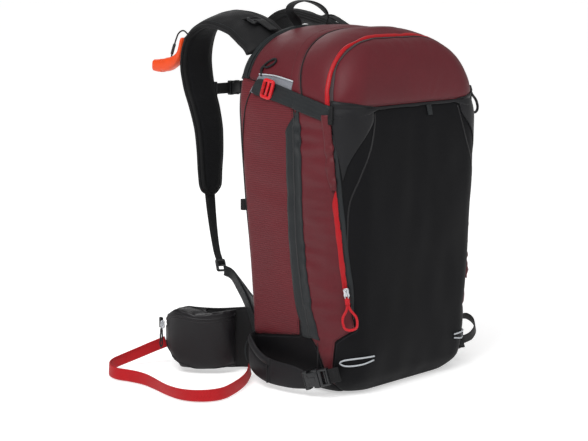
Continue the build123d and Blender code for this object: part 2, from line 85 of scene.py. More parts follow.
CAMERA_PLACE, CAMERA_TARGET, CAMERA_LENS = (-1.8577, -1.6772, 0.6713), (-0.092, 0.058, 0.257), 93.67
camera = placed("camera", bpy.data.cameras.new("camera"))
camera.data.lens = CAMERA_LENS
camera.location = CAMERA_PLACE
aim = Vector(CAMERA_TARGET) - camera.location
camera.rotation_euler = aim.to_track_quat("-Z", "Y").to_euler()
scene.camera = camera


def lamp(name, kind, energy, place, target, **settings):
    """A light at a place, in metres, aimed at a target."""
    data = bpy.data.lights.new(name, kind)
    data.energy = energy
    for key, value in settings.items():
        setattr(data, key, value)
    obj = placed(name, data)
    obj.location = place
    obj.rotation_euler = (Vector(target) - Vector(place)).to_track_quat("-Z", "Y").to_euler()


lamp("sky_key", "SUN", 1.3, (-1.6, -0.9, 3.6), (0, 0, 0), angle=math.radians(60))
lamp("softbox_left", "AREA", 21, (-1.5, -0.4, 1.75), (-0.1, 0, 0.45), shape="RECTANGLE", size=0.9, size_y=1.0)
lamp("softbox_front", "AREA", 7, (0.5, -2.2, 1.5), (0, 0, 0.35), shape="RECTANGLE", size=1.4, size_y=1.2)
lamp("rim_back", "AREA", 8, (1.2, 2.2, 1.6), (0, 0, 0.4), shape="RECTANGLE", size=1.2, size_y=1.2)
world = bpy.data.worlds.new("world")
scene.world = world
world.use_nodes = True
backdrop = world.node_tree.nodes["Background"].inputs
backdrop["Color"].default_value = (1, 1, 1, 1)
backdrop["Strength"].default_value = 0.3


# ---- materials
def srgb(r, g, b):
    """A linear colour from screen values of 0 to 255."""
    return tuple(c / 3294.6 if c <= 10 else ((c / 255 + 0.055) / 1.055) ** 2.4 for c in (r, g, b)) + (1,)


class Nodes:
    """Short calls for building one material's node tree."""

    def __init__(self, name):
        self.material = bpy.data.materials.new(name)
        self.material.use_nodes = True
        self.tree = self.material.node_tree
        self.shader = self.tree.nodes["Principled BSDF"]
        self.uv = self.add("ShaderNodeUVMap", uv_map="UVMap").outputs[0]
        self.place = self.add("ShaderNodeTexCoord").outputs["Object"]

    def add(self, kind, inputs=(), **settings):
        node = self.tree.nodes.new(kind)
        for key, value in settings.items():
            setattr(node, key, value)
        for key, value in dict(inputs).items():
            self.put(node.inputs[key], value)
        return node

    def put(self, socket, value):
        if isinstance(value, bpy.types.NodeSocket):
            self.tree.links.new(value, socket)
        else:
            socket.default_value = value

    def math(self, operation, a, b=0.0, c=0.0):
        return self.add("ShaderNodeMath", {0: a, 1: b, 2: c}, operation=operation).outputs[0]

    def noise(self, size, detail=3.0, rough=0.5):
        """Cloudy noise with features about size millimetres across."""
        inputs = {"Vector": self.place, "Scale": 500 / size, "Detail": detail, "Roughness": rough}
        return self.add("ShaderNodeTexNoise", inputs).outputs["Fac"]

    def bands(self, period, direction="X"):
        """Waves along one direction of the cloth, period millimetres apart."""
        return self.add("ShaderNodeTexWave", {"Vector": self.uv, "Scale": 314.16 / period},
                        bands_direction=direction).outputs["Fac"]

    def mix(self, share, a, b):
        node = self.add("ShaderNodeMix", data_type="RGBA")
        self.put(node.inputs[0], share)
        self.put(node.inputs[6], a)
        self.put(node.inputs[7], b)
        return node.outputs[2]

    def bump(self, height, distance, base=None):
        """Height of 0 to 1 turned into relief of distance millimetres."""
        inputs = {"Height": height, "Distance": distance / 1000, "Strength": 1.0}
        if base:
            inputs["Normal"] = base
        return self.add("ShaderNodeBump", inputs).outputs[0]

    def done(self, colour, rough, normal=None, **values):
        self.put(self.shader.inputs["Base Color"], colour)
        self.put(self.shader.inputs["Roughness"], rough)
        if normal:
            self.put(self.shader.inputs["Normal"], normal)
        for key, value in values.items():
            self.put(self.shader.inputs[key.replace("_", " ").title().replace("Ior", "IOR")], value)
        return self.material


# In metres from the seam, and radians per metre along it. The third width is how far painted shade darkens the
# crease along each seam.
STITCH_INSET, STITCH_WIDTH, SEAM_SHADE_WIDTH, STITCH_TURNS = 0.0034, 0.0005, 0.0011, 1900


def cloth(name, dark, light, thread=1.0, relief=0.12, rough=0.6, sheen=0.03, rib=0, crease=0.5, seams=False,
          thread_colour=None, shine=0.22):
    """Woven fabric: crossing threads, soft creases, blotchy colour, stitches beside a panel's seams and painted
    shade in the crease along each seam.
    """
    n = Nodes(name)
    dark, light = srgb(*dark), srgb(*light)
    weave = n.math("MULTIPLY", n.bands(thread), n.bands(thread, "Y"))
    fibre = n.noise(1.2, 2)
    blotch = n.noise(70, 4, rough=0.6)
    share = n.math("MULTIPLY_ADD", weave, 0.25,
                   n.math("MULTIPLY_ADD", fibre, 0.35, n.math("MULTIPLY", blotch, 0.7)))
    share = n.math("SUBTRACT", share, 0.2)
    height = n.math("MULTIPLY_ADD", weave, 0.6, n.math("MULTIPLY", fibre, 0.4))
    if rib:
        ribs = n.bands(rib, "Y")
        share = n.math("MULTIPLY_ADD", ribs, 0.45, share)
        height = n.math("MULTIPLY_ADD", ribs, 0.9, height)
    share = n.add("ShaderNodeClamp", {0: share}).outputs[0]
    colour = n.mix(share, dark, light)
    normal = n.bump(height, relief)
    normal = n.bump(n.noise(24, 3, rough=0.55), crease, base=normal)
    if seams:
        edge = n.add("ShaderNodeAttribute", attribute_name="seam").outputs["Fac"]
        split = n.add("ShaderNodeSeparateXYZ", {0: n.uv})
        along = n.math("ADD", split.outputs[0], split.outputs[1])
        dash = n.math("GREATER_THAN", n.math("SINE", n.math("MULTIPLY", along, STITCH_TURNS)), -0.35)
        row = n.math("COMPARE", edge, STITCH_INSET, STITCH_WIDTH)
        stitch = n.math("MULTIPLY", row, dash)
        # Painted shade: the cloth turns near-black in the narrow crease along each seam, where a groove's shade
        # would fall.
        fold = n.math("LESS_THAN", edge, SEAM_SHADE_WIDTH)
        colour = n.mix(n.math("MULTIPLY", fold, 0.75), colour, srgb(12, 10, 11))
        colour = n.mix(n.math("MULTIPLY", stitch, 0.8), colour,
                       srgb(*thread_colour) if thread_colour else dark)
        normal = n.bump(stitch, 0.35, base=normal)
    gloss = n.math("MULTIPLY_ADD", blotch, 0.14, rough - 0.07)
    return n.done(colour, gloss, normal, sheen_weight=sheen, sheen_roughness=0.5, specular_ior_level=shine)


def webbing(name, dark, light, rough=0.55, period=2.6, relief=0.35):
    """Woven tape: a herringbone of ribs with fibres standing off it."""
    n = Nodes(name)
    split = n.add("ShaderNodeSeparateXYZ", {0: n.uv})
    fold = n.math("ABSOLUTE", n.math("SUBTRACT", n.math("FRACT", n.math("MULTIPLY", split.outputs[1], 160)),
                                     0.5))
    lean = n.math("ADD", n.math("MULTIPLY", split.outputs[0], 6283 / period), n.math("MULTIPLY", fold, 6.0))
    rib = n.math("MULTIPLY_ADD", n.math("SINE", lean), 0.5, 0.5)
    fibre = n.noise(1.0, 2)
    share = n.math("MULTIPLY_ADD", rib, 0.45, n.math("MULTIPLY", n.noise(30, 3), 0.5))
    colour = n.mix(share, srgb(*dark), srgb(*light))
    normal = n.bump(n.math("MULTIPLY_ADD", fibre, 0.3, rib), relief)
    gloss = n.math("MULTIPLY_ADD", fibre, 0.12, rough)
    return n.done(colour, gloss, normal, sheen_weight=0.02, specular_ior_level=0.22)


def moulded(name, colour, rough=0.38):
    """Moulded plastic: fine spark-eroded grain with scuffed patches."""
    n, colour = Nodes(name), srgb(*colour)
    grain = n.noise(0.9, 2)
    scuff = n.noise(14, 5, 0.7)
    lighter = tuple(min(1, c * 1.6 + 0.01) for c in colour[:3]) + (1,)
    tone = n.mix(n.math("MULTIPLY", scuff, 0.45), colour, lighter)
    gloss = n.math("MULTIPLY_ADD", scuff, 0.2, rough - 0.08)
    return n.done(tone, gloss, n.bump(grain, 0.06), specular_ior_level=0.4)


def metal(name, colour, rough=0.28):
    """Die-cast metal with fine wear."""
    n, colour = Nodes(name), srgb(*colour)
    wear = n.noise(6, 5, 0.7)
    darker = tuple(c * 0.55 for c in colour[:3]) + (1,)
    tone = n.mix(n.math("MULTIPLY", wear, 0.6), colour, darker)
    return n.done(tone, n.math("MULTIPLY_ADD", wear, 0.25, rough - 0.1), n.bump(wear, 0.05), metallic=1.0)


MAROON_THREAD = (52, 12, 18)
MAROON = cloth("maroon_nylon", (72, 17, 24), (103, 31, 39), 1.1, 0.1, 0.5, seams=True,
               thread_colour=MAROON_THREAD)
MAROON_RIB = cloth("maroon_ribbed_nylon", (66, 14, 21), (103, 32, 39), 1.1, 0.14, 0.52, rib=3.4,
                   seams=True, thread_colour=MAROON_THREAD)
MAROON_FLAP = cloth("maroon_flap_nylon", (70, 19, 25), (100, 33, 39), 1.1, 0.1, 0.5)
BLACK_FRONT = cloth("black_front_nylon", (10, 10, 11), (21, 21, 24), 1.0, 0.1, 0.6, sheen=0.0, seams=True,
                    thread_colour=(46, 46, 50), crease=0.25, shine=0.09)
BLACK_BASE = cloth("black_base_nylon", (7, 6, 8), (15, 14, 17), 1.6, 0.2, 0.6, sheen=0.01, seams=True,
                   thread_colour=(42, 42, 46), shine=0.12)
CHARCOAL = cloth("charcoal_nylon", (14, 14, 16), (26, 26, 29), 1.1, 0.1, 0.5)
BLACK_SOFT = cloth("black_pad_cloth", (8, 8, 9), (19, 19, 21), 1.2, 0.15, 0.62, crease=0.8)
BLACK_PACK = cloth("black_packcloth", (10, 9, 11), (21, 20, 23), 1.0, 0.12, 0.45, crease=0.9, shine=0.3)
BINDING = webbing("grey_binding", (17, 20, 21), (34, 38, 40), period=2.0)
GREY_WEB = webbing("grey_webbing", (20, 22, 24), (37, 41, 43))
ANCHOR_WEB = webbing("anchor_webbing", (18, 19, 20), (34, 36, 38))
BLACK_WEB = webbing("black_webbing", (8, 8, 9), (26, 26, 28))
RED_TAPE = cloth("red_zip_tape", (140, 9, 17), (180, 18, 28), 0.9, 0.08, 0.38, crease=0.2)
RED_WEB = webbing("red_webbing", (150, 8, 16), (192, 18, 28), period=2.2)
ARCH_TAPE = cloth("warm_grey_zip_tape", (48, 38, 40), (70, 58, 60), 0.9, 0.08, 0.45, crease=0.2)
GREY_TAPE = cloth("grey_zip_tape", (22, 24, 26), (36, 40, 42), 0.9, 0.08, 0.42, crease=0.2)
RED_CORD = webbing("red_cord", (158, 12, 22), (204, 28, 40), 0.4, 1.8, 0.3)
BLACK_CORD = webbing("black_cord", (9, 9, 10), (30, 30, 33), 0.45, 1.8, 0.3)
PLASTIC = moulded("black_acetal", (20, 21, 23))
BUCKLE_BLACK = moulded("glossy_black_acetal", (24, 25, 27), 0.26)
RED_PLASTIC = moulded("red_acetal", (184, 14, 24), 0.35)
ORANGE = moulded("orange_handle", (214, 66, 10), 0.36)
SILVER = metal("bright_zinc", (205, 207, 212))
ALUMINIUM = metal("aluminium", (160, 164, 170), 0.4)
ELECTRONICS = moulded("grey_housing", (70, 73, 78), 0.45)
REFLECTIVE = webbing("reflective_cord", (150, 154, 160), (214, 218, 222), 0.32, 1.6)
REFLECTIVE_CLOTH = cloth("reflective_cloth", (98, 100, 106), (140, 143, 150), 1.2, 0.08, 0.4)


def spacer_mesh(name, dark, light, pitch=3.4):
    """Knitted spacer mesh: rows of round holes over a darker ground."""
    n = Nodes(name)
    cells = n.add("ShaderNodeTexVoronoi", {"Vector": n.uv, "Scale": 1000 / pitch, "Randomness": 0.12},
                  voronoi_dimensions="2D").outputs["Distance"]
    hole = n.add("ShaderNodeMapRange", {0: cells, 1: 0.22, 2: 0.42, 3: 0.0, 4: 1.0}).outputs[0]
    colour = n.mix(hole, srgb(*dark), srgb(*light))
    return n.done(colour, 0.8, n.bump(hole, 0.6), sheen_weight=0.03, specular_ior_level=0.15)


MESH = spacer_mesh("black_spacer_mesh", (5, 5, 6), (24, 24, 27))
MESH_FINE = spacer_mesh("fine_spacer_mesh", (7, 7, 8), (20, 20, 23), 2.2)
BLACK_BAND = cloth("black_padded_band", (13, 12, 14), (27, 26, 30), 1.1, 0.14, 0.55, crease=0.5)
BLACK_POUCH = cloth("black_pouch_nylon", (10, 9, 11), (24, 21, 25), 0.9, 0.06, 0.42, crease=0.9, shine=0.3)
RED_CLOTH = cloth("airbag_nylon", (150, 20, 28), (190, 36, 44), 0.9, 0.1, 0.5, crease=1.2)
SHEET_PLASTIC = moulded("frame_sheet_plastic", (30, 31, 34), 0.5)
MATERIAL_SLOTS = {
    "maroon_fabric": (MAROON, MAROON_RIB, MAROON_FLAP),
    "black_fabric": (BLACK_FRONT, BLACK_BASE, BLACK_SOFT, BLACK_PACK, BLACK_BAND, BLACK_POUCH),
    "charcoal_fabric": (CHARCOAL,), "mesh_pad": (MESH, MESH_FINE), "black_webbing": (BLACK_WEB, BLACK_CORD),
    "grey_webbing": (BINDING, GREY_WEB, GREY_TAPE, ARCH_TAPE, ANCHOR_WEB),
    "red_tape": (RED_TAPE, RED_WEB, RED_CORD, RED_CLOTH),
    "red_plastic": (RED_PLASTIC,), "black_plastic": (PLASTIC, BUCKLE_BLACK, ELECTRONICS, SHEET_PLASTIC),
    "orange_plastic": (ORANGE,), "silver_metal": (SILVER,), "reflective_cord": (REFLECTIVE, REFLECTIVE_CLOTH),
    "frame_alloy": (ALUMINIUM,)}
SLOT_OF = {material.name: slot for slot, materials in MATERIAL_SLOTS.items() for material in materials}


# ---- building meshes
def finished(obj, body="pack", replaces=(), padded=None):
    """Puts a finished piece on its body and hides the imported parts it replaces."""
    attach(obj, body)
    if replaces:
        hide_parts(*replaces)
    return obj


def object_from(name, verts, faces, uvs, material):
    """A smooth mesh object from millimetre points; uvs are per vertex, in millimetres, or per face corner."""
    mesh = bpy.data.meshes.new(name)
    mesh.from_pydata((np.asarray(verts, float) / 1000).tolist(), [], faces)
    layer = mesh.uv_layers.new(name="UVMap")
    loops = np.empty(len(mesh.loops), np.int32)
    mesh.loops.foreach_get("vertex_index", loops)
    uvs = np.asarray(uvs, float) / 1000
    layer.data.foreach_set("uv", (uvs[loops] if len(uvs) == len(verts) else uvs).astype(np.float32).ravel())
    mesh.polygons.foreach_set("use_smooth", [True] * len(mesh.polygons))
    mesh.materials.append(material)
    return placed(name, mesh)


def run_along(line):
    """The length of a line up to each of its points."""
    return np.concatenate([[0], np.cumsum(np.linalg.norm(np.diff(line, axis=0), axis=1))])


def resampled(line, count):
    """Count evenly spaced points along a line."""
    length = run_along(line)
    at = np.linspace(0, length[-1], count)
    return np.stack([np.interp(at, length, line[:, k]) for k in range(line.shape[1])], -1)


def loft(name, rings, material, closed=False, round_ring=True):
    """A skin over rings, an array of (stations, points, xyz). closed joins the last ring to the first."""
    rings = np.asarray(rings, float)
    count, size = rings.shape[:2]
    around = np.cumsum(np.linalg.norm(np.diff(rings, axis=1, append=rings[:, :1]), axis=2).mean(0))
    around = np.concatenate([[0], around[:-1]])
    along = run_along(rings.mean(1))
    verts = rings.reshape(-1, 3)
    uvs = np.stack(np.meshgrid(along, around, indexing="ij"), -1).reshape(-1, 2)
    faces = []
    for i in range(count if closed else count - 1):
        for j in range(size if round_ring else size - 1):
            a, b = i * size, ((i + 1) % count) * size
            k = (j + 1) % size
            faces.append((a + j, a + k, b + k, b + j))
    if not closed and round_ring:
        faces.append(tuple(range(size))[::-1])
        faces.append(tuple((count - 1) * size + j for j in range(size)))
    return object_from(name, verts, faces, uvs, material)


def smooth_line(points, step=4.0, closed=False):
    """Points about step apart along a Catmull-Rom curve through the given points."""
    p = np.asarray(points, float)
    n = len(p)
    out = []
    for i in range(n if closed else n - 1):
        if closed:
            a, b, c, d = (p[(i + k) % n] for k in (-1, 0, 1, 2))
        else:
            b, c = p[i], p[i + 1]
            a = p[i - 1] if i else 2 * b - c
            d = p[i + 2] if i + 2 < n else 2 * c - b
        m1, m2 = (c - a) / 2, (d - b) / 2
        t = np.linspace(0, 1, 13)[:-1, None]
        out.append((2 * t**3 - 3 * t**2 + 1) * b + (t**3 - 2 * t**2 + t) * m1
                   + (3 * t**2 - 2 * t**3) * c + (t**3 - t**2) * m2)
    out.append(p[:1] if closed else p[-1:])
    line = np.concatenate(out)
    even = resampled(line, max(3, int(round(run_along(line)[-1] / step)) + 1))
    return even[:-1] if closed else even


def wobble(x, y, z):
    """Smooth noise of about -1 to 1 at a place."""
    return noise.noise(Vector((x, y, z)))


def unit(v):
    """Vectors scaled to a length of one."""
    v = np.asarray(v, float)
    return v / np.maximum(np.linalg.norm(v, axis=-1, keepdims=True), 1e-9)


def tangents(line, closed=False):
    """The direction of a line at each of its points."""
    if closed:
        return unit(np.roll(line, -1, 0) - np.roll(line, 1, 0))
    return unit(np.gradient(line, axis=0))


def swept(name, line, profile, out, material, closed=False, round_ring=True):
    """A profile of (across, outward) points carried along a line; out is outward, one for all or one per point.
    The profile may be one list or one per station."""
    line = np.asarray(line, float)
    t = tangents(line, closed)
    up = np.broadcast_to(np.asarray(out, float), line.shape)
    up = unit(up - (up * t).sum(1, keepdims=True) * t)
    side = np.cross(up, t)
    profile = np.asarray(profile, float)
    if profile.ndim == 2:
        profile = np.broadcast_to(profile, (len(line),) + profile.shape)
    rings = line[:, None] + profile[..., :1] * side[:, None] + profile[..., 1:] * up[:, None]
    return loft(name, rings, material, closed, round_ring)


def turn_round(count):
    """Count even angles of a full turn."""
    return np.linspace(0, 2 * math.pi, count, endpoint=False)


def circle(radius, count=10):
    """The section of a round cord."""
    a = turn_round(count)
    return np.stack([radius * np.cos(a), radius * np.sin(a)], -1)


def squarish(count, across=0.6, up=0.6):
    """A unit circle squared off towards its corners: the lower the power, the squarer."""
    a = turn_round(count)
    return np.stack([np.sign(c) * abs(c) ** power for c, power in ((np.cos(a), across), (np.sin(a), up))], -1)


def flat_oval(width, thick, count=4):
    """The section of a strap: flat faces and rounded edges."""
    a = np.linspace(-math.pi / 2, math.pi / 2, count + 1)
    r = thick / 2
    right = np.stack([width / 2 - r + r * np.cos(a), r * np.sin(a)], -1)
    across = np.linspace(width / 2 - r, -(width / 2 - r), 6)[1:-1]
    top = np.stack([across, np.full(4, r)], -1)
    return np.concatenate([right, top, -right, -top])


def tube(name, points, radius, material, closed=False, step=3.0, count=10):
    """A round cord along points."""
    line = smooth_line(points, step, closed)
    t = tangents(line, closed)
    up = np.zeros_like(line)
    ref = np.array([0.0, 0.0, 1.0]) if abs(t[0][2]) < 0.9 else np.array([1.0, 0.0, 0.0])
    for i in range(len(line)):
        ref = unit(ref - ref.dot(t[i]) * t[i])
        up[i] = ref
    return swept(name, line, circle(radius, count), up, material, closed)


def joined(name, objects):
    """Joins mesh objects into one, with their materials."""
    mesh = bpy.data.meshes.new(name)
    whole = bmesh.new()
    for index, obj in enumerate(objects):
        part = obj.data
        part.transform(obj.matrix_world)
        start = len(whole.faces)
        whole.from_mesh(part)
        whole.faces.ensure_lookup_table()
        if part.materials[0].name not in [m.name for m in mesh.materials]:
            mesh.materials.append(part.materials[0])
        slot = [m.name for m in mesh.materials].index(part.materials[0].name)
        for f in whole.faces[start:]:
            f.material_index = slot
        bpy.data.objects.remove(obj)
    whole.to_mesh(mesh)
    whole.free()
    return placed(name, mesh)


def mirrored_copy(obj, name):
    """The same piece for the other side of the pack."""
    mesh = obj.data.copy()
    mesh.name = name
    mesh.transform(Matrix.Scale(-1, 4, (1, 0, 0)))
    mesh.flip_normals()
    return placed(name, mesh)


# ---- the sack's surface
def steady(points):
    """A smooth function through points that never overshoots them."""
    x, y = np.asarray(points, float).T
    h, d = np.diff(x), np.diff(y) / np.diff(x)
    m = np.concatenate([[d[0]], np.zeros(len(x) - 2), [d[-1]]])
    for i in range(1, len(x) - 1):
        if d[i - 1] * d[i] > 0:
            w1, w2 = 2 * h[i] + h[i - 1], h[i] + 2 * h[i - 1]
            m[i] = (w1 + w2) / (w1 / d[i - 1] + w2 / d[i])

    def value(at):
        at = np.clip(at, x[0], x[-1])
        i = np.clip(np.searchsorted(x, at, side="right") - 1, 0, len(x) - 2)
        s = (at - x[i]) / h[i]
        return ((1 + 2 * s) * (1 - s) ** 2 * y[i] + s * (1 - s) ** 2 * h[i] * m[i]
                + s * s * (3 - 2 * s) * y[i + 1] + s * s * (s - 1) * h[i] * m[i + 1])

    return value


TOP = 570
DOME_Z = 440
side_width = steady([(0, 128), (12, 143), (30, 152), (60, 156), (120, 159), (250, 162), (400, 166),
                     (440, 167)])
back_y = steady([(0, 84), (30, 92), (120, 92), (200, 97), (320, 108), (430, 114), (570, 110)])
front_y = steady([(0, -100), (30, -116), (150, -125), (300, -127), (430, -125), (500, -113), (545, -92),
                  (570, -50)])


def half_width(z):
    k = np.clip((z - DOME_Z) / (TOP - DOME_Z), 0, 1)
    return side_width(np.minimum(z, DOME_Z)) * (1 - k**2.5) ** 0.4


def section(z):
    """Half of the sack's outline at height z, from the back's middle round the left side to the front."""
    w, back, front = (float(f(z)) for f in (half_width, back_y, front_y))
    rb, rf = min(14, 0.5 * w), min(48, 0.8 * w)
    a = np.linspace(0, math.pi / 2, 6)[1:]
    b = np.linspace(0, math.pi / 2, 15)[1:]
    parts = [np.stack([np.linspace(0, rb - w, 29), np.full(29, back)], -1),
             np.stack([rb - w - rb * np.sin(a), back - rb + rb * np.cos(a)], -1),
             np.stack([np.full(36, -w), np.linspace(back - rb, front + rf, 37)[1:]], -1),
             np.stack([rf - w - rf * np.cos(b), front + rf - rf * np.sin(b)], -1),
             np.stack([np.linspace(rf - w, 0, 25)[1:], np.full(24, front)], -1)]
    return np.concatenate(parts)


def sack_mesh(step=5.0):
    """The whole sack as one bmesh in millimetres, with a UV map that runs round it and up it."""
    fine = TOP - (np.linspace(1, 0, 4001) ** 2) * TOP
    w = half_width(fine)
    up = np.concatenate([[0], np.cumsum(np.hypot(np.diff(fine), np.diff(w)))])
    at = np.linspace(0, up[-1], int(up[-1] / step))
    heights = np.interp(at, up, fine)
    half = np.stack([section(z) for z in heights])
    ring = np.concatenate([half, (half * (-1, 1))[:, -2:0:-1]], 1)
    around = np.cumsum(np.linalg.norm(np.diff(ring, axis=1, prepend=ring[:, -1:]), axis=2), axis=1)
    around -= around[:, :1]
    bm = bmesh.new()
    uv = bm.loops.layers.uv.new("UVMap")
    grid = [[bm.verts.new((x, y, z)) for x, y in row] for row, z in zip(ring, heights)]
    count = ring.shape[1]
    for i in range(len(heights) - 1):
        for j in range(count):
            k = (j + 1) % count
            face = bm.faces.new((grid[i][j], grid[i + 1][j], grid[i + 1][k], grid[i][k]))
            u0, u1 = around[i, j], around[i, k] if k else around[i, -1] + 5
            for loop, place in zip(face.loops, ((u0, at[i]), (u0, at[i + 1]), (u1, at[i + 1]), (u1, at[i]))):
                loop[uv].uv = (place[0] / 1000, place[1] / 1000)
    inner = grid[0]
    for share in (0.9, 0.75, 0.55, 0.3, 0.05):
        ring_in = [bm.verts.new((v.co.x * share, v.co.y * share - 8 * (1 - share), 0)) for v in grid[0]]
        for j in range(count):
            k = (j + 1) % count
            face = bm.faces.new((ring_in[j], inner[j], inner[k], ring_in[k]))
            for loop in face.loops:
                loop[uv].uv = (loop.vert.co.x / 1000, loop.vert.co.y / 1000)
        inner = ring_in
    bm.faces.new(inner[::-1])
    bmesh.ops.remove_doubles(bm, verts=bm.verts, dist=0.01)
    bmesh.ops.dissolve_degenerate(bm, edges=bm.edges, dist=0.01)
    bmesh.ops.recalc_face_normals(bm, faces=bm.faces)
    return bm


LID_Z = 455


# Each seam's planes, as (y, z) of a point on it and the (y, z) of its normal.
SEAMS = {"back": [((78, 0), (1, -0.033))], "edge": [((84, 0), (1, -0.055))],
         "front": [((-90, LID_Z), (1, -0.08))],
         "goggle": [((-90, LID_Z), (1, -0.16))], "piping": [((-36, LID_Z), (1, -0.36))],
         "zip": [((-13, LID_Z), (1, -0.06))], "base": [((0, 85.7), (0.148, 1))],
         "tongue": [((-19, 113.5), (-1.04, 1)), ((-56, 75), (-2.5, 1))],
         "toe": [((-92.6, 88.8), (1, 0.154)), ((-92.6, 88.8), (1, 1.23))]}
BREAKS = [((-19, 0), (1, 0)), ((0, LID_Z), (0, 1)), ((-90, LID_Z), (-0.2, 1))]


def beyond(seam, y, z):
    """How far a point lies past a seam, on the side its normals face."""
    return max((y - at[0]) * way[0] + (z - at[1]) * way[1] for at, way in SEAMS[seam])


def panel_at(x, y, z):
    """The name of the sewn panel at a point of the sack's surface."""
    if z < 0.5:
        return "base_panel"
    lid = z > LID_Z + 0.2 * max(y + 90, 0)
    if (beyond("back", y, z) if lid else beyond("edge", y, z)) > 0:
        return "back_panel"
    if lid:
        if beyond("piping", y, z) > 0:
            return "crown_panel"
        return "collar_panel" if beyond("goggle", y, z) > 0 else "goggle_pocket"
    if beyond("front", y, z) < 0 or (z < 109 and beyond("toe", y, z) < 0):
        return "tool_pocket"
    if (beyond("base", y, z) if y > -19 else beyond("tongue", y, z)) < 0:
        return "base_panel"
    if beyond("zip", y, z) > 0:
        return "side_panel_left" if x < 0 else "side_panel_right"
    return "side_gussets"


# Each panel's puff: its height and how fast it rises from the seams, in millimetres, and its cloth.
PANELS = {"back_panel": (2, 20, BINDING), "crown_panel": (5, 28, MAROON), "collar_panel": (3.5, 16, MAROON),
          "goggle_pocket": (8, 26, MAROON), "tool_pocket": (7, 42, BLACK_FRONT),
          "base_panel": (2, 18, BLACK_BASE),
          "side_panel_left": (4, 24, MAROON_RIB), "side_panel_right": (4, 24, MAROON_RIB),
          "side_gussets": (2.5, 16, MAROON)}
sack = sack_mesh()
for place, normal in [plane for planes in SEAMS.values() for plane in planes] + BREAKS:
    bmesh.ops.bisect_plane(sack, geom=sack.verts[:] + sack.edges[:] + sack.faces[:], dist=0.4,
                           plane_co=(0, *place), plane_no=(0, *normal))
sack.normal_update()
sack.faces.index_update()
panel_of_face = [panel_at(*f.calc_center_median()) for f in sack.faces]
seam_edges = [e for e in sack.edges if len({panel_of_face[f.index] for f in e.link_faces}) > 1]
seam_points = {}
for e in seam_edges:
    a, b = e.verts[0].co, e.verts[1].co
    count = max(1, int((b - a).length / 2))
    for k in range(count + 1):
        for f in e.link_faces:
            seam_points.setdefault(panel_of_face[f.index], []).append(a.lerp(b, k / count))
trees = {}
for panel, points in seam_points.items():
    tree = KDTree(len(points))
    for i, p in enumerate(points):
        tree.insert(p, i)
    tree.balance()
    trees[panel] = tree
seam_verts = {v for e in seam_edges for v in e.verts}
distance = {}
for v in sack.verts:
    if v in seam_verts:
        distance[v.index] = 0.0
        continue
    panel = panel_of_face[v.link_faces[0].index]
    distance[v.index] = trees[panel].find(v.co)[2]


def relief(panel, co, d):
    """How far a panel's cloth stands out at a point, d millimetres from its nearest seam."""
    height, reach, _ = PANELS[panel]
    lift = height * (1 - math.exp(-d / reach))
    slow = noise.noise(Vector((co.x, co.y, co.z)) * 0.012 + Vector((3, 7, 1)))
    soft = 1 - math.exp(-d / 12)
    lift += 1.6 * slow * soft
    if panel == "side_gussets":
        pucker = wobble(co.y * 0.014 + co.z * 0.01, 2.0, co.z * 0.07)
        lift += 3.2 * pucker * soft + 1.0 * pucker
    elif panel in ("side_panel_left", "side_panel_right"):
        pucker = wobble(co.y * 0.01, 9.0, co.z * 0.03)
        lift += 1.9 * pucker * soft
    elif panel in ("crown_panel", "collar_panel", "goggle_pocket"):
        turn = math.atan2(co.z - 400, abs(co.x)) * 150
        lift += 0.9 * wobble(turn * 0.08, co.y * 0.015, 5.0) * math.exp(-d / 22) * soft * 2
    elif panel == "tool_pocket":
        lift += 1.4 * wobble(co.x * 0.03, 1.0, co.z * 0.01) * soft
    return lift


for v in sack.verts:
    d = distance[v.index]
    lift = -1.3
    if d > 0:
        panel = panel_of_face[v.link_faces[0].index]
        lift = relief(panel, v.co, d) - 1.3 * math.exp(-d / 2.5)
    v.co = v.co + v.normal * lift
    if v.co.z < 0:
        v.co.z = 0
sack.normal_update()
surface = BVHTree.FromBMesh(sack)
seam_layer = sack.verts.layers.float.new("seam")
for v in sack.verts:
    v[seam_layer] = distance[v.index] / 1000

for panel in sorted(PANELS):
    part = sack.copy()
    part.faces.ensure_lookup_table()
    bmesh.ops.delete(part, geom=[f for f in part.faces if panel_of_face[f.index] != panel], context="FACES")
    for f in part.faces:
        f.smooth = True
    bmesh.ops.scale(part, vec=(0.001, 0.001, 0.001), verts=part.verts)
    mesh = bpy.data.meshes.new(panel + "_cloth")
    part.to_mesh(mesh)
    part.free()
    mesh.materials.append(PANELS[panel][2])
    cover = placed(panel + "_cloth", mesh)
    thick = cover.modifiers.new("thickness", "SOLIDIFY")
    thick.thickness = 0.0012
    thick.offset = -1
    finished(cover, replaces=[panel])


# ---- laying pieces on the sack
def on_sack(points, lift=0.0, tree=surface):
    """Grid points moved onto the sewn surface and lift millimetres out, with smoothed outward directions."""
    grid = np.asarray(points, float)
    flat = grid.reshape(-1, 3)
    hits = [tree.find_nearest(Vector(p)) for p in flat]
    place = np.array([h[0] for h in hits]).reshape(grid.shape)
    out = np.array([h[1] for h in hits]).reshape(grid.shape)
    for _ in range(2):
        padded_out = np.concatenate([out[:1], out, out[-1:]])
        out = unit(padded_out[:-2] + 2 * out + padded_out[2:])
    return place + out * lift, out


def even_line(points, count):
    """Count evenly spaced points along a smooth line through the given ones."""
    return resampled(smooth_line(points, 1.5), count)


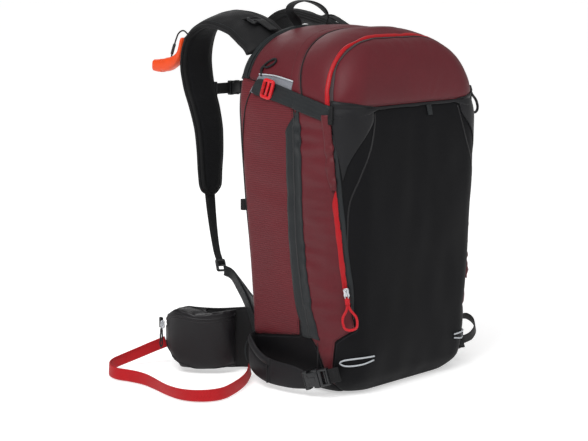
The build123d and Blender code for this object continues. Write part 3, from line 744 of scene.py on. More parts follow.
def laid(name, left, right, material, lift=0.3, thick=1.0, crown=0.3, across=6, step=4.0, wave=None,
         body="pack",
         **claims):
    """A tape or patch laid on the sack between two edges. wave(along, across) adds relief in millimetres."""
    length = max(run_along(side)[-1] for side in (left, right))
    count = max(4, int(length / step) + 1)
    a, b = even_line(left, count), even_line(right, count)
    t = np.linspace(0, 1, across + 1)[None, :, None]
    place, out = on_sack(a[:, None] * (1 - t) + b[:, None] * t)
    height = lift + thick + crown * np.sin(math.pi * t) * np.ones((count, 1, 1))
    if wave:
        along = np.linspace(0, length, count)
        waves = [[wave(s, q) for q in np.linspace(0, 1, across + 1)] for s in along]
        height = height + np.array(waves)[..., None]
    top, under = place + out * height, place + out * (lift - 0.4)
    obj = loft(name, np.concatenate([top, under[:, ::-1]], 1), material)
    return finished(obj, body, **claims) if body else obj


def seam_line(first, second):
    """The stitched lines between two panels, each from its lowest left end, as points on the sewn surface."""
    pairs = {}
    for e in seam_edges:
        if {panel_of_face[f.index] for f in e.link_faces} == {first, second}:
            a, b = e.verts
            pairs.setdefault(a, []).append(b)
            pairs.setdefault(b, []).append(a)
    chains, left = [], set(pairs)
    while left:
        ends = [v for v in left if len(pairs[v]) == 1] or list(left)
        v = min(ends, key=lambda q: (q.co.z, q.co.x))
        chain = [v]
        left.discard(v)
        while True:
            after = [q for q in pairs[chain[-1]] if q in left]
            if not after:
                break
            chain.append(after[0])
            left.discard(after[0])
        chains.append(np.array([q.co for q in chain]))
    return sorted(chains, key=lambda c: c[:, 0].mean())


def beside(line, offset):
    """The line moved offset millimetres over the sack, to the left of its direction seen from outside."""
    line = np.asarray(line, float)
    _, out = on_sack(line)
    side = unit(np.cross(out, tangents(line)))
    return on_sack(line + side * offset)[0]


def thinned(line, step=9.0):
    """A line with fewer, evenly spaced points, which smooths the mesh's own steps out of it."""
    keep = np.linspace(0, len(line) - 1, max(3, int(run_along(line)[-1] / step))).round().astype(int)
    return line[keep]


def along_seam(name, line, inner, outer, material, **settings):
    """A tape that runs beside a seam, from inner to outer millimetres off it."""
    line = thinned(line)
    return laid(name, beside(line, inner), beside(line, outer), material, **settings)


# ---- hardware shapes
def rounded_box(centre, x_dir, y_dir, size, bevel, material, segments=3):
    """A block with rounded edges, lying along its own x and y directions."""
    bm = bmesh.new()
    bmesh.ops.create_cube(bm, size=1)
    for v in bm.verts:
        v.co = Vector(v.co[k] * size[k] for k in range(3))
    bmesh.ops.bevel(bm, geom=bm.edges[:], offset=bevel, segments=segments, affect="EDGES", profile=0.6)
    x = unit(x_dir)
    z = unit(np.cross(x, y_dir))
    basis = np.stack([x, np.cross(z, x), z])
    verts = np.array([v.co for v in bm.verts]) @ basis + np.asarray(centre, float)
    bm.verts.index_update()
    faces = [[v.index for v in f.verts] for f in bm.faces]
    bm.free()
    return object_from("block", verts, faces, verts[:, :2], material)


def frame_path(centre, along, across, length, width, skew=0.0, corner=3.0):
    """A rounded rectangle as a closed line of points."""
    u, v = unit(along), unit(across)
    pts = []
    for sx, sy, start in ((1, 1, 0), (-1, 1, 1), (-1, -1, 2), (1, -1, 3)):
        for k in range(5):
            a = (start + k / 4) * math.pi / 2
            pts.append((sx * (length / 2 - corner) + corner * math.cos(a),
                        sy * (width / 2 - corner) + corner * math.sin(a)))
    return np.array([np.asarray(centre, float) + u * (p + skew * q) + v * q for p, q in pts])


def ladder_lock(name, centre, along, out, length, width, thick, material, skew=0.0, bar=4.0):
    """A moulded ladder lock: a rounded frame, a middle bar and a lifting lip with grip ribs."""
    along = unit(along)
    out = unit(np.asarray(out, float) - np.dot(out, along) * along)
    across = np.cross(out, along)
    section_points = squarish(12) * (bar / 2, thick / 2)
    centre = np.asarray(centre, float)
    parts = [swept("rim", frame_path(centre, along, across, length - bar, width - bar, skew), section_points,
                   out,
                   material, closed=True)]
    half = (width - bar) / 2
    rod = np.array([centre - (across + skew * along) * half, centre, centre + (across + skew * along) * half])
    parts.append(swept("bar", rod, section_points * 0.9, out, material))
    for k in range(4):
        shift = length / 2 - bar * 0.9 + k * 0.9
        place = centre + along * shift + out * (thick / 2 + 0.1)
        parts.append(rounded_box(place, across + skew * along, out, (width * 0.62, 0.8, 0.5), 0.2, material,
                                 1))
    return joined(name, parts)


def loop_pull(name, top, down, side, length, width, radius, material):
    """A teardrop of cord that hangs from a slider, with a bound neck."""
    top, down, side = np.asarray(top, float), unit(down), unit(side)
    shape = [(0, 0.3), (0.12, 0.9), (0.35, 2.4), (0.6, width / 2 - 0.8), (0.8, width / 2),
             (0.95, width / 2 - 2.6),
             (1.0, 0)]
    right = [top + down * length * a + side * b for a, b in shape]
    back = [top + down * length * a - side * b for a, b in shape[-2::-1]]
    neck = [top + down * length * a for a in (0.02, 0.1, 0.2)]
    return joined(name, [tube("cord", right + back, radius, material, step=2.0),
                         tube("neck", neck, radius * 1.9, material, step=1.5)])


# ---- zips, seams and patches of the sack
def zip_teeth(name, line, out_of, material, width=3.2):
    """A coil zip's line of teeth: a low bead with a ridge for each turn of the coil."""
    line = smooth_line(line, 1.3)
    place, out = on_sack(line, out_of)
    a = np.linspace(0, math.pi, 7)
    even = np.stack([width / 2 * np.cos(a), 0.9 * np.sin(a)], -1)
    swell = 1 + 0.22 * np.sin(np.arange(len(line)) * math.pi)[:, None, None]
    profile = even[None] * np.where(np.arange(len(line)) % 2, 1.0, 0.72)[:, None, None] * swell
    return swept(name, place, profile, out, material, round_ring=False)


def side_points(side, *pairs):
    """Points on one side of the sack from (y, z) pairs."""
    return [(side * (half_width(z) + 4), y, z) for y, z in pairs]


SIDES = ((-1, "left"), (1, "right"))


def on_side(side, *points):
    """Points given for the right-hand side, moved to either side."""
    return [(side * x, y, z) for x, y, z in points]


def corded(name, points, lift, radius, material, step=4, replaces=()):
    """A cord laid on the sack, its middle lift millimetres out of the cloth."""
    return finished(tube(name, on_sack(points, lift)[0], radius, material, step=step), replaces=replaces)


def banded(name, side, first, second, material, replaces=(), **settings):
    """A tape between two edges on one side of the sack. The left one stands for the nodes that hold both."""
    edges, word = ((first, second), "left") if side < 0 else ((second, first), "right")
    return laid(f"{name}_{word}", *edges, material, replaces=replaces if side < 0 else [], **settings)


for side, name in SIDES:
    back_edge = side_points(side, (-27, 88), (-19, 120), (-11, 160), (-3, 240), (0, 330), (0, 400), (-1, 418),
                            (-23, 447), (-26, 452))
    front_edge = side_points(side, (-66, 88), (-54, 120), (-46, 160), (-34, 240), (-31, 330), (-31, 400),
                             (-29, 430),
                             (-27, 450))
    middle = side_points(side, (-44, 92), (-36, 120), (-28, 160), (-18.5, 240), (-15.5, 330), (-15.5, 420),
                         (-17, 446))
    tape = banded("side_zip_tape", side, back_edge, front_edge, GREY_TAPE, lift=0.2, thick=0.9, crown=0.2,
                  across=8,
                  body=None)
    teeth = zip_teeth("teeth", middle, 1.2, PLASTIC)
    finished(joined(f"side_zip_{name}", [tape, teeth]), replaces=["side_zips"] if side < 0 else [])

goggle_seam = seam_line("collar_panel", "goggle_pocket")[0]
piping_seam = seam_line("crown_panel", "collar_panel")[0]
corner_seams = seam_line("side_gussets", "tool_pocket")

along_seam("goggle_zip_red", goggle_seam, 0.9, 7.4, RED_TAPE, thick=1.1, crown=0.6)
along_seam("goggle_zip_grey", goggle_seam, -6.8, 0.9, ARCH_TAPE, thick=0.9, crown=0.3,
           replaces=["goggle_zip_tape"])
finished(zip_teeth("goggle_zip_teeth", thinned(goggle_seam), 1.4, BLACK_CORD, 1.5))
corded("seam_piping_cord", thinned(piping_seam, 6), 0.5, 1.5, BLACK_CORD, replaces=["seam_piping"])
corded("crown_stitch_fold", beside(thinned(piping_seam), 17), -0.5, 0.9, MAROON_FLAP)

# Corner zip on the wearer's left: red tape, a grey tape ahead of it and a rain flap over its upper end.
left_corner = corner_seams[0]
zip_run = left_corner[(left_corner[:, 2] > 160) & (left_corner[:, 2] < 338)]
zip_line = thinned(zip_run, 12)
fade = np.clip((338 - zip_line[:, 2]) / 26, 0.05, 1)[:, None]
inner = beside(zip_line, 0.2)
outer = beside(zip_line, 8.8)
red = laid("red", inner, inner + (outer - inner) * fade, RED_TAPE, lift=0.2, thick=1.1, crown=0.5, body=None)
tape_run = left_corner[(left_corner[:, 2] > 122) & (left_corner[:, 2] < 420)]
tape_line = thinned(tape_run, 14)
narrow = np.interp(tape_line[:, 2], [122, 165], [0.12, 1])[:, None]
tape_near, tape_far = beside(tape_line, 0.2), beside(tape_line, -8.0)
grey = laid("grey", tape_near + (tape_far - tape_near) * narrow, tape_near, GREY_TAPE, lift=0.2, thick=0.8,
            body=None)
teeth = zip_teeth("teeth", zip_line, 1.5, BLACK_CORD, 2.2)
finished(joined("corner_zip", [grey, red, teeth]), replaces=["corner_zip_tape"])


def puckers(along, across):
    """Short folds across a gathered flap, deepest at its stitched edges."""
    fold = wobble(along * 0.1 + across * 0.8, across * 0.7, 4.0)
    return 4.6 * fold * (0.4 + abs(across - 0.5)) + 0.9 + 0.4 * math.sin(math.pi * across)


for seam, (side, name) in zip(corner_seams, SIDES):
    flap = seam[(seam[:, 2] > (326 if side < 0 else 150)) & (seam[:, 2] < 446)]
    flap = thinned(flap, 10)
    near, far = (0.5, 13.5) if side < 0 else (-0.5, -13.5)
    taper = np.clip((flap[:, 2] - flap[0, 2]) / 60 + 0.55, 0.55, 1)[:, None]
    a, b = beside(flap, near), beside(flap, far)
    banded("corner_flap", side, a, a + (b - a) * taper, MAROON_FLAP, lift=0.8, thick=1.2, crown=0.6, across=8,
           step=2.5, wave=puckers)

# Hem along the top of the tool pocket, its corner wings and the small pull tab.
hem_seam = seam_line("goggle_pocket", "tool_pocket")[0]
hem_line = thinned(hem_seam, 10)
inward, outward = (hem_line + np.multiply.outer(np.interp(abs(hem_line[:, 0]), [0, 96, 122, 165], rise),
                                                (0, 0, 1))
                   for rise in ([-5, -5, -13, -16], [0.3, 0.3, 4, 12]))
laid("pocket_hem", inward, outward, CHARCOAL, lift=0.5, thick=1.3, crown=0.5, across=6)
corded("pocket_hem_edge", outward, 1.2, 0.9, BLACK_CORD)
for side, name in SIDES:
    outer_edge = on_side(side, (168, -89, 448), (167, -98, 410), (164, -108, 372), (162, -113, 346))
    inner_edge = on_side(side, (105, -127, 449), (108, -128, 434), (120, -128, 420), (141, -126, 394),
                         (155, -119, 369), (161, -114, 346))
    banded("pocket_wing", side, inner_edge, outer_edge, CHARCOAL, ["pocket_wings"], lift=0.6, thick=1.0,
           crown=0.5,
           across=12, step=5)
    fold_line = on_side(side, (101, -128, 447), (104, -131, 430), (116, -131, 394), (136, -128, 350),
                        (152, -121, 312), (156, -119, 268), (156, -118, 214))
    corded(f"pocket_fold_{name}", fold_line, -0.4, 1.5, BLACK_PACK, step=5)
tab = [(27, -132, 456), (27, -136, 448), (27, -137, 440), (27, -134.5, 436)]
finished(swept("pocket_tab", on_sack(tab, 1.6)[0], flat_oval(11, 1.8), (0, -1, 0), GREY_WEB))

# Compression straps, their locks, the reflective patches behind them, cord loops and tool bungees.
for side, name in SIDES:
    top_edge = side_points(side, (74, 486), (66, 492.5), (40, 489.5), (10, 483), (-50, 469), (-84, 460.5),
                           (-97, 457.5))
    low_edge = side_points(side, (76, 473), (68, 467.5), (42, 463.5), (12, 457.5), (-48, 443), (-82, 435.5),
                           (-95, 432.5))
    banded("compression_strap", side, top_edge, low_edge, GREY_WEB, ["compression_straps"], lift=1.4,
           thick=1.8,
           crown=0.15, across=8)
    banded("compression_bartack", side, side_points(side, (-93, 459), (-99, 457)),
           side_points(side, (-91, 432), (-97, 430)), BLACK_WEB, lift=2.2, thick=2.0, crown=0.4, step=2)
    patch_top = side_points(side, (68, 500), (30, 498.5), (-10, 492.5))
    patch_low = side_points(side, (82, 471), (40, 464), (-5, 456))
    banded("reflective_patch", side, patch_top, patch_low, REFLECTIVE_CLOTH, ["reflective_trim"], lift=0.1,
           thick=0.9,
           crown=0.2)
    corded(f"reflective_piping_{name}", even_line(patch_top, 20), 1.6, 1.2, REFLECTIVE)
    loop_path = on_side(side, (100, -121, 64), (120, -121, 64.5), (138, -116, 63), (149, -107, 60.5),
                        (153, -101, 56),
                        (149, -107, 51.5), (138, -116, 51.5), (120, -121, 54), (101, -121, 58))
    corded(f"reflective_loop_{name}", loop_path, 2.2, 1.3, REFLECTIVE, step=2.5)
    seat = on_sack([on_side(side, (170, 38, 477.5))], 7.2)[0][0][0]
    lock = ladder_lock(f"compression_lock_{name}_frame", seat, (0, 0.98, 0.19), (side, 0, 0), 24, 33, 5,
                       RED_PLASTIC,
                       skew=-0.17 * side, bar=5.4)
    finished(lock, f"compression_lock_{name}", [f"compression_lock_{name}"])
    fold = side_points(side, (75, 477), (80, 470), (87, 453), (95, 428), (101, 395), (104, 360))
    corded(f"back_fold_{name}", fold, 0.3, 1.1, BLACK_CORD)
    bungee = on_side(side, (164, 62, 498), (162, 64, 508), (160, 61, 517), (155, 50, 526), (153, 42, 527),
                     (155, 40, 521), (159, 46, 516), (160, 55, 512), (158, 63, 513), (159, 66, 506),
                     (162, 62, 500))
    corded(f"tool_bungee_{name}", bungee, 2.4, 1.7, BLACK_CORD, 2.5, ["webbing_tabs"] if side < 0 else [])

# Binding round the back edge: a flat tape with a roll each side, and folded webbing tabs.
arch = thinned(seam_line("back_panel", "crown_panel")[0], 9)
for _, name in SIDES:
    run = thinned(seam_line("back_panel", f"side_panel_{name}")[0], 10)
    corded(f"back_binding_{name}", run, 0.6, 1.9, BINDING, step=5)
corded("back_binding_arch", arch, 0.6, 1.9, BINDING, step=5)
laid("back_binding_tape", beside(arch, 3.0), beside(arch, 15.0), BINDING, lift=0.3, thick=1.4, crown=0.8)
corded("back_binding_roll", beside(arch, 17.5), 0.8, 2.2, BLACK_CORD, step=5)
TAB_Z = 286
for side, name in SIDES:
    fold = on_side(side, *((x, y, TAB_Z) for x, y in ((150, 101), (153, 105), (158.5, 109.5), (162.5, 109.5),
                                                      (164, 106.5), (162, 103), (156, 98))))
    line = smooth_line(fold, 2)
    finished(swept(f"edge_tab_{name}", line, flat_oval(18, 1.8), np.cross(tangents(line), (0, 0, 1)),
                   BLACK_WEB))


# ---- padded pieces
PADDED_FILL = 0.7
CLOTH_STEPS = 20


def modified(obj):
    """Applies the object's modifiers to its mesh and takes them off."""
    mesh = bpy.data.meshes.new_from_object(obj.evaluated_get(bpy.context.evaluated_depsgraph_get()))
    obj.modifiers.clear()
    obj.data = mesh
    return mesh


def coordinates(mesh):
    """The places of a mesh's vertices, in metres."""
    co = np.empty(len(mesh.vertices) * 3, np.float32)
    mesh.vertices.foreach_get("co", co)
    return co.reshape(-1, 3).astype(float)


def outwards(mesh):
    """The normals of a mesh's vertices."""
    normals = np.empty(len(mesh.vertices) * 3, np.float32)
    mesh.vertices.foreach_get("normal", normals)
    return normals.reshape(-1, 3).astype(float)


def moved(mesh, co):
    """Puts a mesh's vertices at new places, in metres."""
    mesh.vertices.foreach_set("co", co.astype(np.float32).ravel())
    mesh.update()


def box_mapped(mesh):
    """Lays the UV map on from the six sides, in metres."""
    layer = mesh.uv_layers.get("UVMap") or mesh.uv_layers.new(name="UVMap")
    corners = np.empty(len(mesh.loops), np.int32)
    mesh.loops.foreach_get("vertex_index", corners)
    totals = np.empty(len(mesh.polygons), np.int32)
    mesh.polygons.foreach_get("loop_total", totals)
    normals = np.empty(len(mesh.polygons) * 3, np.float32)
    mesh.polygons.foreach_get("normal", normals)
    facing = np.repeat(abs(normals.reshape(-1, 3)).argmax(1), totals)
    co = coordinates(mesh)[corners]
    u = np.where(facing == 0, co[:, 1], co[:, 0])
    v = np.where(facing == 2, co[:, 1], co[:, 2])
    layer.data.foreach_set("uv", np.stack([u, v], -1).astype(np.float32).ravel())


def puffed(name, node, material, shrink=2.0, voxel=5.0, pressure=4.0, cap=8.0, shape=None):
    """A padded piece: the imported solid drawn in, blown up as cloth and smoothed, all in millimetres."""
    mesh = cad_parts[node].data.copy()
    mesh.name = name
    mesh.materials.clear()
    mesh.materials.append(material)
    obj = placed(name, mesh)
    remesh = obj.modifiers.new("remesh", "REMESH")
    remesh.mode = "VOXEL"
    remesh.voxel_size = voxel / 1000
    even = obj.modifiers.new("even", "SMOOTH")
    even.iterations = 3
    mesh = modified(obj)
    start = coordinates(mesh) - outwards(mesh) * shrink / 1000
    if shape:
        start = shape(start * 1000) / 1000
    moved(mesh, start)
    cloth_modifier = obj.modifiers.new("cloth", "CLOTH")
    cloth_modifier.settings.use_pressure = True
    cloth_modifier.settings.uniform_pressure_force = pressure
    cloth_modifier.settings.effector_weights.gravity = 0
    for step in range(1, CLOTH_STEPS + 1):
        scene.frame_set(step)
    blown = coordinates(obj.evaluated_get(bpy.context.evaluated_depsgraph_get()).data)
    obj.modifiers.clear()
    scene.frame_set(1)
    shift = blown - start
    size = np.linalg.norm(shift, axis=1, keepdims=True)
    moved(mesh, start + shift * np.minimum(1, cap / 1000 / np.maximum(size, 1e-9)))
    soften = obj.modifiers.new("soften", "SMOOTH")
    soften.iterations = 2
    finer = obj.modifiers.new("finer", "SUBSURF")
    finer.levels = finer.render_levels = 1
    mesh = modified(obj)
    mesh.polygons.foreach_set("use_smooth", [True] * len(mesh.polygons))
    box_mapped(mesh)
    return obj


def repainted(obj, material, test):
    """Gives another material to the faces whose centre and normal pass a test, in millimetres."""
    index = len(obj.data.materials)
    obj.data.materials.append(material)
    for face in obj.data.polygons:
        if test(face.center * 1000, face.normal):
            face.material_index = index
    return obj


def skin_of(obj):
    """The object's surface in millimetres, for laying trims on it."""
    mesh = obj.data
    points = (coordinates(mesh) * 1000).tolist()
    return BVHTree.FromPolygons(points, [tuple(f.vertices) for f in mesh.polygons])


def trim(name, points, radius, material, tree, lift=0.0, step=3.0, closed=False, count=8):
    """A cord or roll that runs over a surface."""
    line = smooth_line(points, 5, closed)
    return tube(name, on_sack(line, lift, tree=tree)[0], radius, material, closed, step, count)


# Back pads and lumbar pad: foam under spacer mesh, each with a sewn border. The back pads have channels.
def backed(name, node):
    """A pad of foam whose face to the wearer is spacer mesh."""
    return repainted(puffed(name, node, BLACK_SOFT, shrink=1.5, cap=5), MESH, lambda c, n: n.y > 0.35)


pads = backed("back_pads_foam", "back_pads")
pads_skin = skin_of(pads)
borders = []
for x in (-62, 62):
    ring = frame_path((x, 128, 315), (1, 0, 0), (0, 0, 1), 70, 352, corner=24)
    borders.append(trim("border", ring, 1.3, BINDING, pads_skin, closed=True, step=4))
    for z in (225, 315, 405):
        row = [(x + dx, 128, z) for dx in (-32, -16, 0, 16, 32)]
        borders.append(trim("channel", row, 1.2, BLACK_CORD, pads_skin, lift=-0.4, step=4))
finished(pads, replaces=["back_pads"], padded=PADDED_FILL)
finished(joined("back_pads_stitching", borders))

lumbar = backed("lumbar_foam", "lumbar_pad")
ring = frame_path((0, 112, 62), (1, 0, 0), (0, 0, 1), 180, 72, corner=20)
border = trim("lumbar_border", ring, 1.3, BINDING, skin_of(lumbar), closed=True, step=4)
finished(lumbar, replaces=["lumbar_pad"], padded=PADDED_FILL)
finished(border)


# ---- shoulder straps
STRAP_X = 90
strap_line = smooth_line([(0, y, z) for y, z in (
    (104, 538), (118, 550), (150, 565), (200, 579), (243, 579), (281, 555), (296, 512), (290, 467),
    (276, 430),
    (266, 395), (260, 355), (258, 320), (254, 282))], 5)
strap_length = run_along(strap_line)
strap_t = tangents(strap_line)
strap_out = np.stack([np.zeros(len(strap_t)), -strap_t[:, 2], strap_t[:, 1]], -1)
tip = strap_length[-1] - strap_length
strap_half = np.interp(tip, [0, 60, 150, 260], [22, 27, 32, 35])
round_end = np.clip(tip / 20, 0, 1)
strap_half = strap_half * np.sqrt(1 - (1 - round_end) ** 2.2 * 0.93)
strap_half += np.interp(strap_length, [0, 35, 80], [4, 3, 0])
strap_centre = -STRAP_X - np.interp(tip, [0, 110], [7, 0]) - np.interp(strap_length, [0, 35, 80], [16, 10, 0])
strap_thick = 8.6 * np.sqrt(np.clip(tip / 12, 0.16, 1)) * np.interp(strap_length, [0, 40], [0.75, 1])
bank = np.radians(np.interp(strap_length, [0, 45, 70, 110, 150, 200, 260], [20, 27, 25, 21, 15, 6, 0]))


def along_x(values):
    """Vectors along x, one of each length."""
    return np.multiply.outer(values, (1.0, 0, 0))


strap_side = along_x(np.cos(bank)) + strap_out * np.sin(bank)[:, None]
strap_up = strap_out * np.cos(bank)[:, None] - along_x(np.sin(bank))
strap_mid = strap_line + along_x(strap_centre)


def strap_point(i, across, side):
    """A point on the strap's face at station i: across is -1 to 1, and side is 1 outside and -1 inside."""
    crown = (1 - abs(across) ** 3.2) ** 0.62
    lift = side * strap_thick[i] * crown
    if side > 0:
        s = strap_length[i]
        ripple = wobble(s * 0.05, across * 2.2, 3.0)
        lift += 1.7 * ripple * crown * math.exp(-((s - 60) / 70) ** 2)
    else:
        edge = strap_half[i] * (1 - abs(across))
        lift += 1.5 * math.exp(-((edge - 9) / 1.8) ** 2) * crown
    return strap_mid[i] + strap_side[i] * strap_half[i] * across + strap_up[i] * lift


ACROSS = np.sin(np.linspace(-1, 1, 33) * math.pi / 2)
strap_rings = [[strap_point(i, a, 1) for a in ACROSS] + [strap_point(i, a, -1) for a in ACROSS[-2:0:-1]]
               for i in range(len(strap_line))]
strap = loft("shoulder_strap_left_pad", strap_rings, BLACK_SOFT)
strap.data.materials.append(MESH_FINE)
ring_size = len(strap_rings[0])
for index, face in enumerate(strap.data.polygons):
    column = index % ring_size
    station = min(index // ring_size, len(strap_line) - 1)
    across = ACROSS[::-1][column - 32] if 33 <= column < ring_size else None
    if len(face.vertices) == 4 and across is not None and strap_half[station] * (1 - abs(across)) > 9:
        face.material_index = 1
rims = [strap_mid + strap_side * strap_half[:, None] * end * 0.985 for end in (-1, 1)]
bound = smooth_line(np.concatenate([rims[0], rims[1][::-1]])[::2], 4)
bound_up = np.concatenate([strap_up, strap_up[::-1]])
keep = np.linspace(0, len(bound_up) - 1, len(bound)).round().astype(int)
binding = swept("shoulder_strap_left_binding", bound, circle(1, 8) * (3.4, 2.6), bound_up[keep], BLACK_WEB)
stitched = range(4, len(strap_line) - 6, 2)
stitch_lines = [tube("stitch", [strap_point(i, a, 1) + strap_up[i] * 0.1 for i in stitched],
                     0.6, BINDING, step=5, count=6) for a in (-0.82, 0.82)]
stitching = joined("shoulder_strap_left_stitching", stitch_lines)


def both_sides(obj, body, replaces=(), padded=None):
    """Finishes a left-hand piece and its mirror image for the right."""
    other = mirrored_copy(obj, obj.name.replace("_left", "_right"))
    for piece, side in ((obj, "left"), (other, "right")):
        finished(piece, body.format(side), [n.format(side) for n in replaces], padded)
    return obj, other


both_sides(strap, "shoulder_strap_{}", ["shoulder_strap_{}"], padded=0.6)
both_sides(binding, "shoulder_strap_{}")
both_sides(stitching, "shoulder_strap_{}")


def blended_pair(obj, node):
    """Names a strap that runs between the pack and the shoulder strap, makes its mirror image and bakes both in
    place, hiding the lower webbing's imported parts.
    """
    obj.name = node + "_left_strap"
    other = mirrored_copy(obj, node + "_right_strap")
    for piece, side, sign in ((obj, "left", 1), (other, "right", -1)):
        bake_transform(piece)
        if node == "lower_webbing":
            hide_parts(f"{node}_{side}")


# Lower webbing, its ladder lock and the triangular anchor.
web_line = smooth_line([(-97, 257, 292), (-99, 254, 279), (-103, 246, 250), (-107, 236, 216),
                        (-110, 226, 187),
                        (-110, 219, 171), (-110, 217, 163)], 4)
web_turn = np.radians(np.interp(web_line[:, 2], [165, 200, 270, 290], [24, 20, 4, 0]))
web_out = np.cross(np.stack([np.cos(web_turn), np.sin(web_turn), web_turn * 0], -1), tangents(web_line))
lower_web = swept("web", web_line, flat_oval(23, 2.0), web_out, BLACK_WEB)
blended_pair(lower_web, "lower_webbing")
lock_aim = (0.06, 0.3, 0.95)
lock_left = ladder_lock("lower_lock_left", (-110, 216, 163), lock_aim, (-0.39, 0.87, -0.3), 22, 33, 4.6,
                        PLASTIC)
lock_right = mirrored_copy(lock_left, "lower_lock_right")
finished(lock_left, replaces=["lower_locks"])
finished(lock_right)

anchor_x = np.array([0.4, 0.917, 0])


def anchor_at(u, z, out=0.0):
    """A point of the anchor flap: u along it from the pack's back edge, at height z."""
    return np.array([-150, 94, 0]) + anchor_x * u + np.array([0, 0, z]) + np.array([0.917, -0.4, 0]) * out


flap_rings = []
for u in np.linspace(-10, 108, 28):
    low = np.interp(u, [-10, 6, 20, 60, 108], [78, 84, 112, 130, 141])
    high = np.interp(u, [-10, 40, 108], [127, 140, 157])
    share = np.linspace(0, 1, 13)
    crease = np.array([wobble(u * 0.06, q * 4, 8) for q in share])
    bulge = 1.5 * np.sin(math.pi * share) + 0.6 * crease
    face = [anchor_at(u, low + (high - low) * q, 2.6 + b) for q, b in zip(share, bulge)]
    rear = [anchor_at(u, low + (high - low) * q, 0.6 + b) for q, b in zip(share, bulge)]
    flap_rings.append(face + rear[::-1])
flap = loft("harness_anchor_left_flap", flap_rings, BLACK_PACK)
strip_line = smooth_line([anchor_at(-4, 78, 0.4), anchor_at(12, 98, 0.2), anchor_at(42, 121, 0),
                          anchor_at(76, 138, 0),
                          anchor_at(108, 150, 0.5), (-109, 208, 155)], 4)
strip = swept("harness_anchor_left_web", strip_line, flat_oval(20, 1.8), (0.917, -0.4, 0.0), ANCHOR_WEB)
rim_line = [anchor_at(u, z, 1.9) for u, z in ((-8, 127.5), (20, 134), (60, 145), (106, 157))]
rim = tube("harness_anchor_left_edge", rim_line, 1.6, BLACK_CORD, step=4)
for piece in (flap, strip, rim):
    both_sides(piece, "pack", ["harness_anchor_{}"] if piece is flap else [])

# Load lifters: webbing from the pack to a ladder lock on the strap, with its loose tail.
lifter_line = smooth_line([(-90, 105, 566), (-90, 116, 571), (-90, 128, 576.5), (-90, 137, 580),
                           (-90, 146, 581.5)], 3)
lifter_web = swept("lifter", lifter_line, flat_oval(19, 1.8), (0, -0.35, 0.94), BLACK_WEB)
blended_pair(lifter_web, "load_lifter")
lifter_lock = ladder_lock("load_lifter_left_lock", (-90, 146, 580), (0, 0.94, 0.34), (0, -0.34, 0.94), 22, 31,
                          5.0,
                          PLASTIC)
both_sides(lifter_lock, "shoulder_strap_{}", ["load_lifter_{}"])
tail_line = smooth_line([(-90, 146, 581), (-90, 153, 583), (-90, 162, 583.5), (-90, 172, 582)], 3)
lifter_tail = swept("load_lifter_left_tail", tail_line, flat_oval(19, 1.8), (0, -0.3, 1), BLACK_WEB)
both_sides(lifter_tail, "shoulder_strap_{}")


# ---- side-release buckles
def block_on(origin, aim, out, along, across, up, size, bevel, material):
    """A rounded block placed by its centre along, across and up from an origin."""
    aim, out = unit(aim), unit(out)
    side = np.cross(out, aim)
    centre = np.asarray(origin, float) + aim * along + side * across + out * up
    return rounded_box(centre, aim, side, size, bevel, material, 2)


def release_buckle(name, origin, aim, out, width, thick, socket, plug, material):
    """The halves of a side-release buckle: an open-sided socket, and a plug with prongs and a lock."""
    wall = thick * 0.24
    wide = width - 2
    blocks = [((socket / 2, 0, s * (thick - wall) / 2), (socket, wide - 5, wall)) for s in (-1, 1)]
    blocks += [((4, s * (width / 2 - 2.6), 0), (8, 5.2, thick)) for s in (-1, 1)]
    blocks += [((socket - 3, s * (width / 2 - 2.8), 0), (6, 5.6, thick * 0.96)) for s in (-1, 1)]
    blocks += [((2, 0, 0), (4, width - 4, thick)),
               ((socket / 2 + 1, 0, thick / 2), (socket * 0.5, width * 0.28, 1.2)),
               ((7.5, 0, thick / 2), (1.6, width * 0.6, 1.0))]
    female = joined(name + "_socket_body", [block_on(origin, aim, out, *place, size, min(1.1, size[2] * 0.35),
                                                     material)
                                            for place, size in blocks])
    head = socket + 0.5
    inner = thick * 0.42
    blocks = [((head + 2.6, 0, 0), (5.2, width - 3, thick * 0.9)),
              ((head + plug - 1.6, 0, 0), (3.2, width - 3, thick * 0.7)),
              ((head + plug * 0.62, 0, -0.5), (3.0, width - 6, thick * 0.5)),
              ((head - 5.5, 0, 0), (11, width * 0.16, inner))]
    blocks += [((head + plug / 2, s * (width / 2 - 3.1), 0), (plug, 3.6, thick * 0.8)) for s in (-1, 1)]
    blocks += [((head - 6.2, s * (width / 2 - 4.6), 0), (13, 3.8, inner)) for s in (-1, 1)]
    blocks += [((head - 8.5, s * (width / 2 - 2.6), 0), (6.5, 4.4, thick * 0.62)) for s in (-1, 1)]
    male = joined(name + "_plug_body", [block_on(origin, aim, out, *place, size, min(1.0, size[2] * 0.35),
                                                 material)
                                        for place, size in blocks])
    return female, male


# ---- ski carry loops
BUCKLE_START = np.array([-180.0, -53, 25])
BUCKLE_AIM = unit((14, -40, 12))
BUCKLE_OUT = unit(np.cross(BUCKLE_AIM, (0, 0, 1)))
female, male = release_buckle("ski_left", BUCKLE_START, BUCKLE_AIM, BUCKLE_OUT, 30, 12, 26, 16, BUCKLE_BLACK)
female.name = "ski_socket_left_body"
male.name = "ski_plug_left_body"
both_sides(female, "pack")
both_sides(male, "ski_plug_{}", ["ski_plug_{}"])
band_line = smooth_line([(-147, 87, 0), (-158, 86, 0), (-172, 79, 0), (-185, 59, 0), (-191, 21, 0),
                         (-188.5, -23, 0),
                         (-182.5, -48, 0), (-180.5, -55, 0)], 4)
band_out = np.cross((0, 0, 1), tangents(band_line))
band_low = steady([(-56, 12), (-30, 9.5), (0, 9), (22, 10), (45, 14), (64, 20), (82, 29), (92, 34)])
band_high = steady([(-56, 40), (-30, 47), (0, 49), (20, 52), (45, 62), (66, 75), (92, 78)])


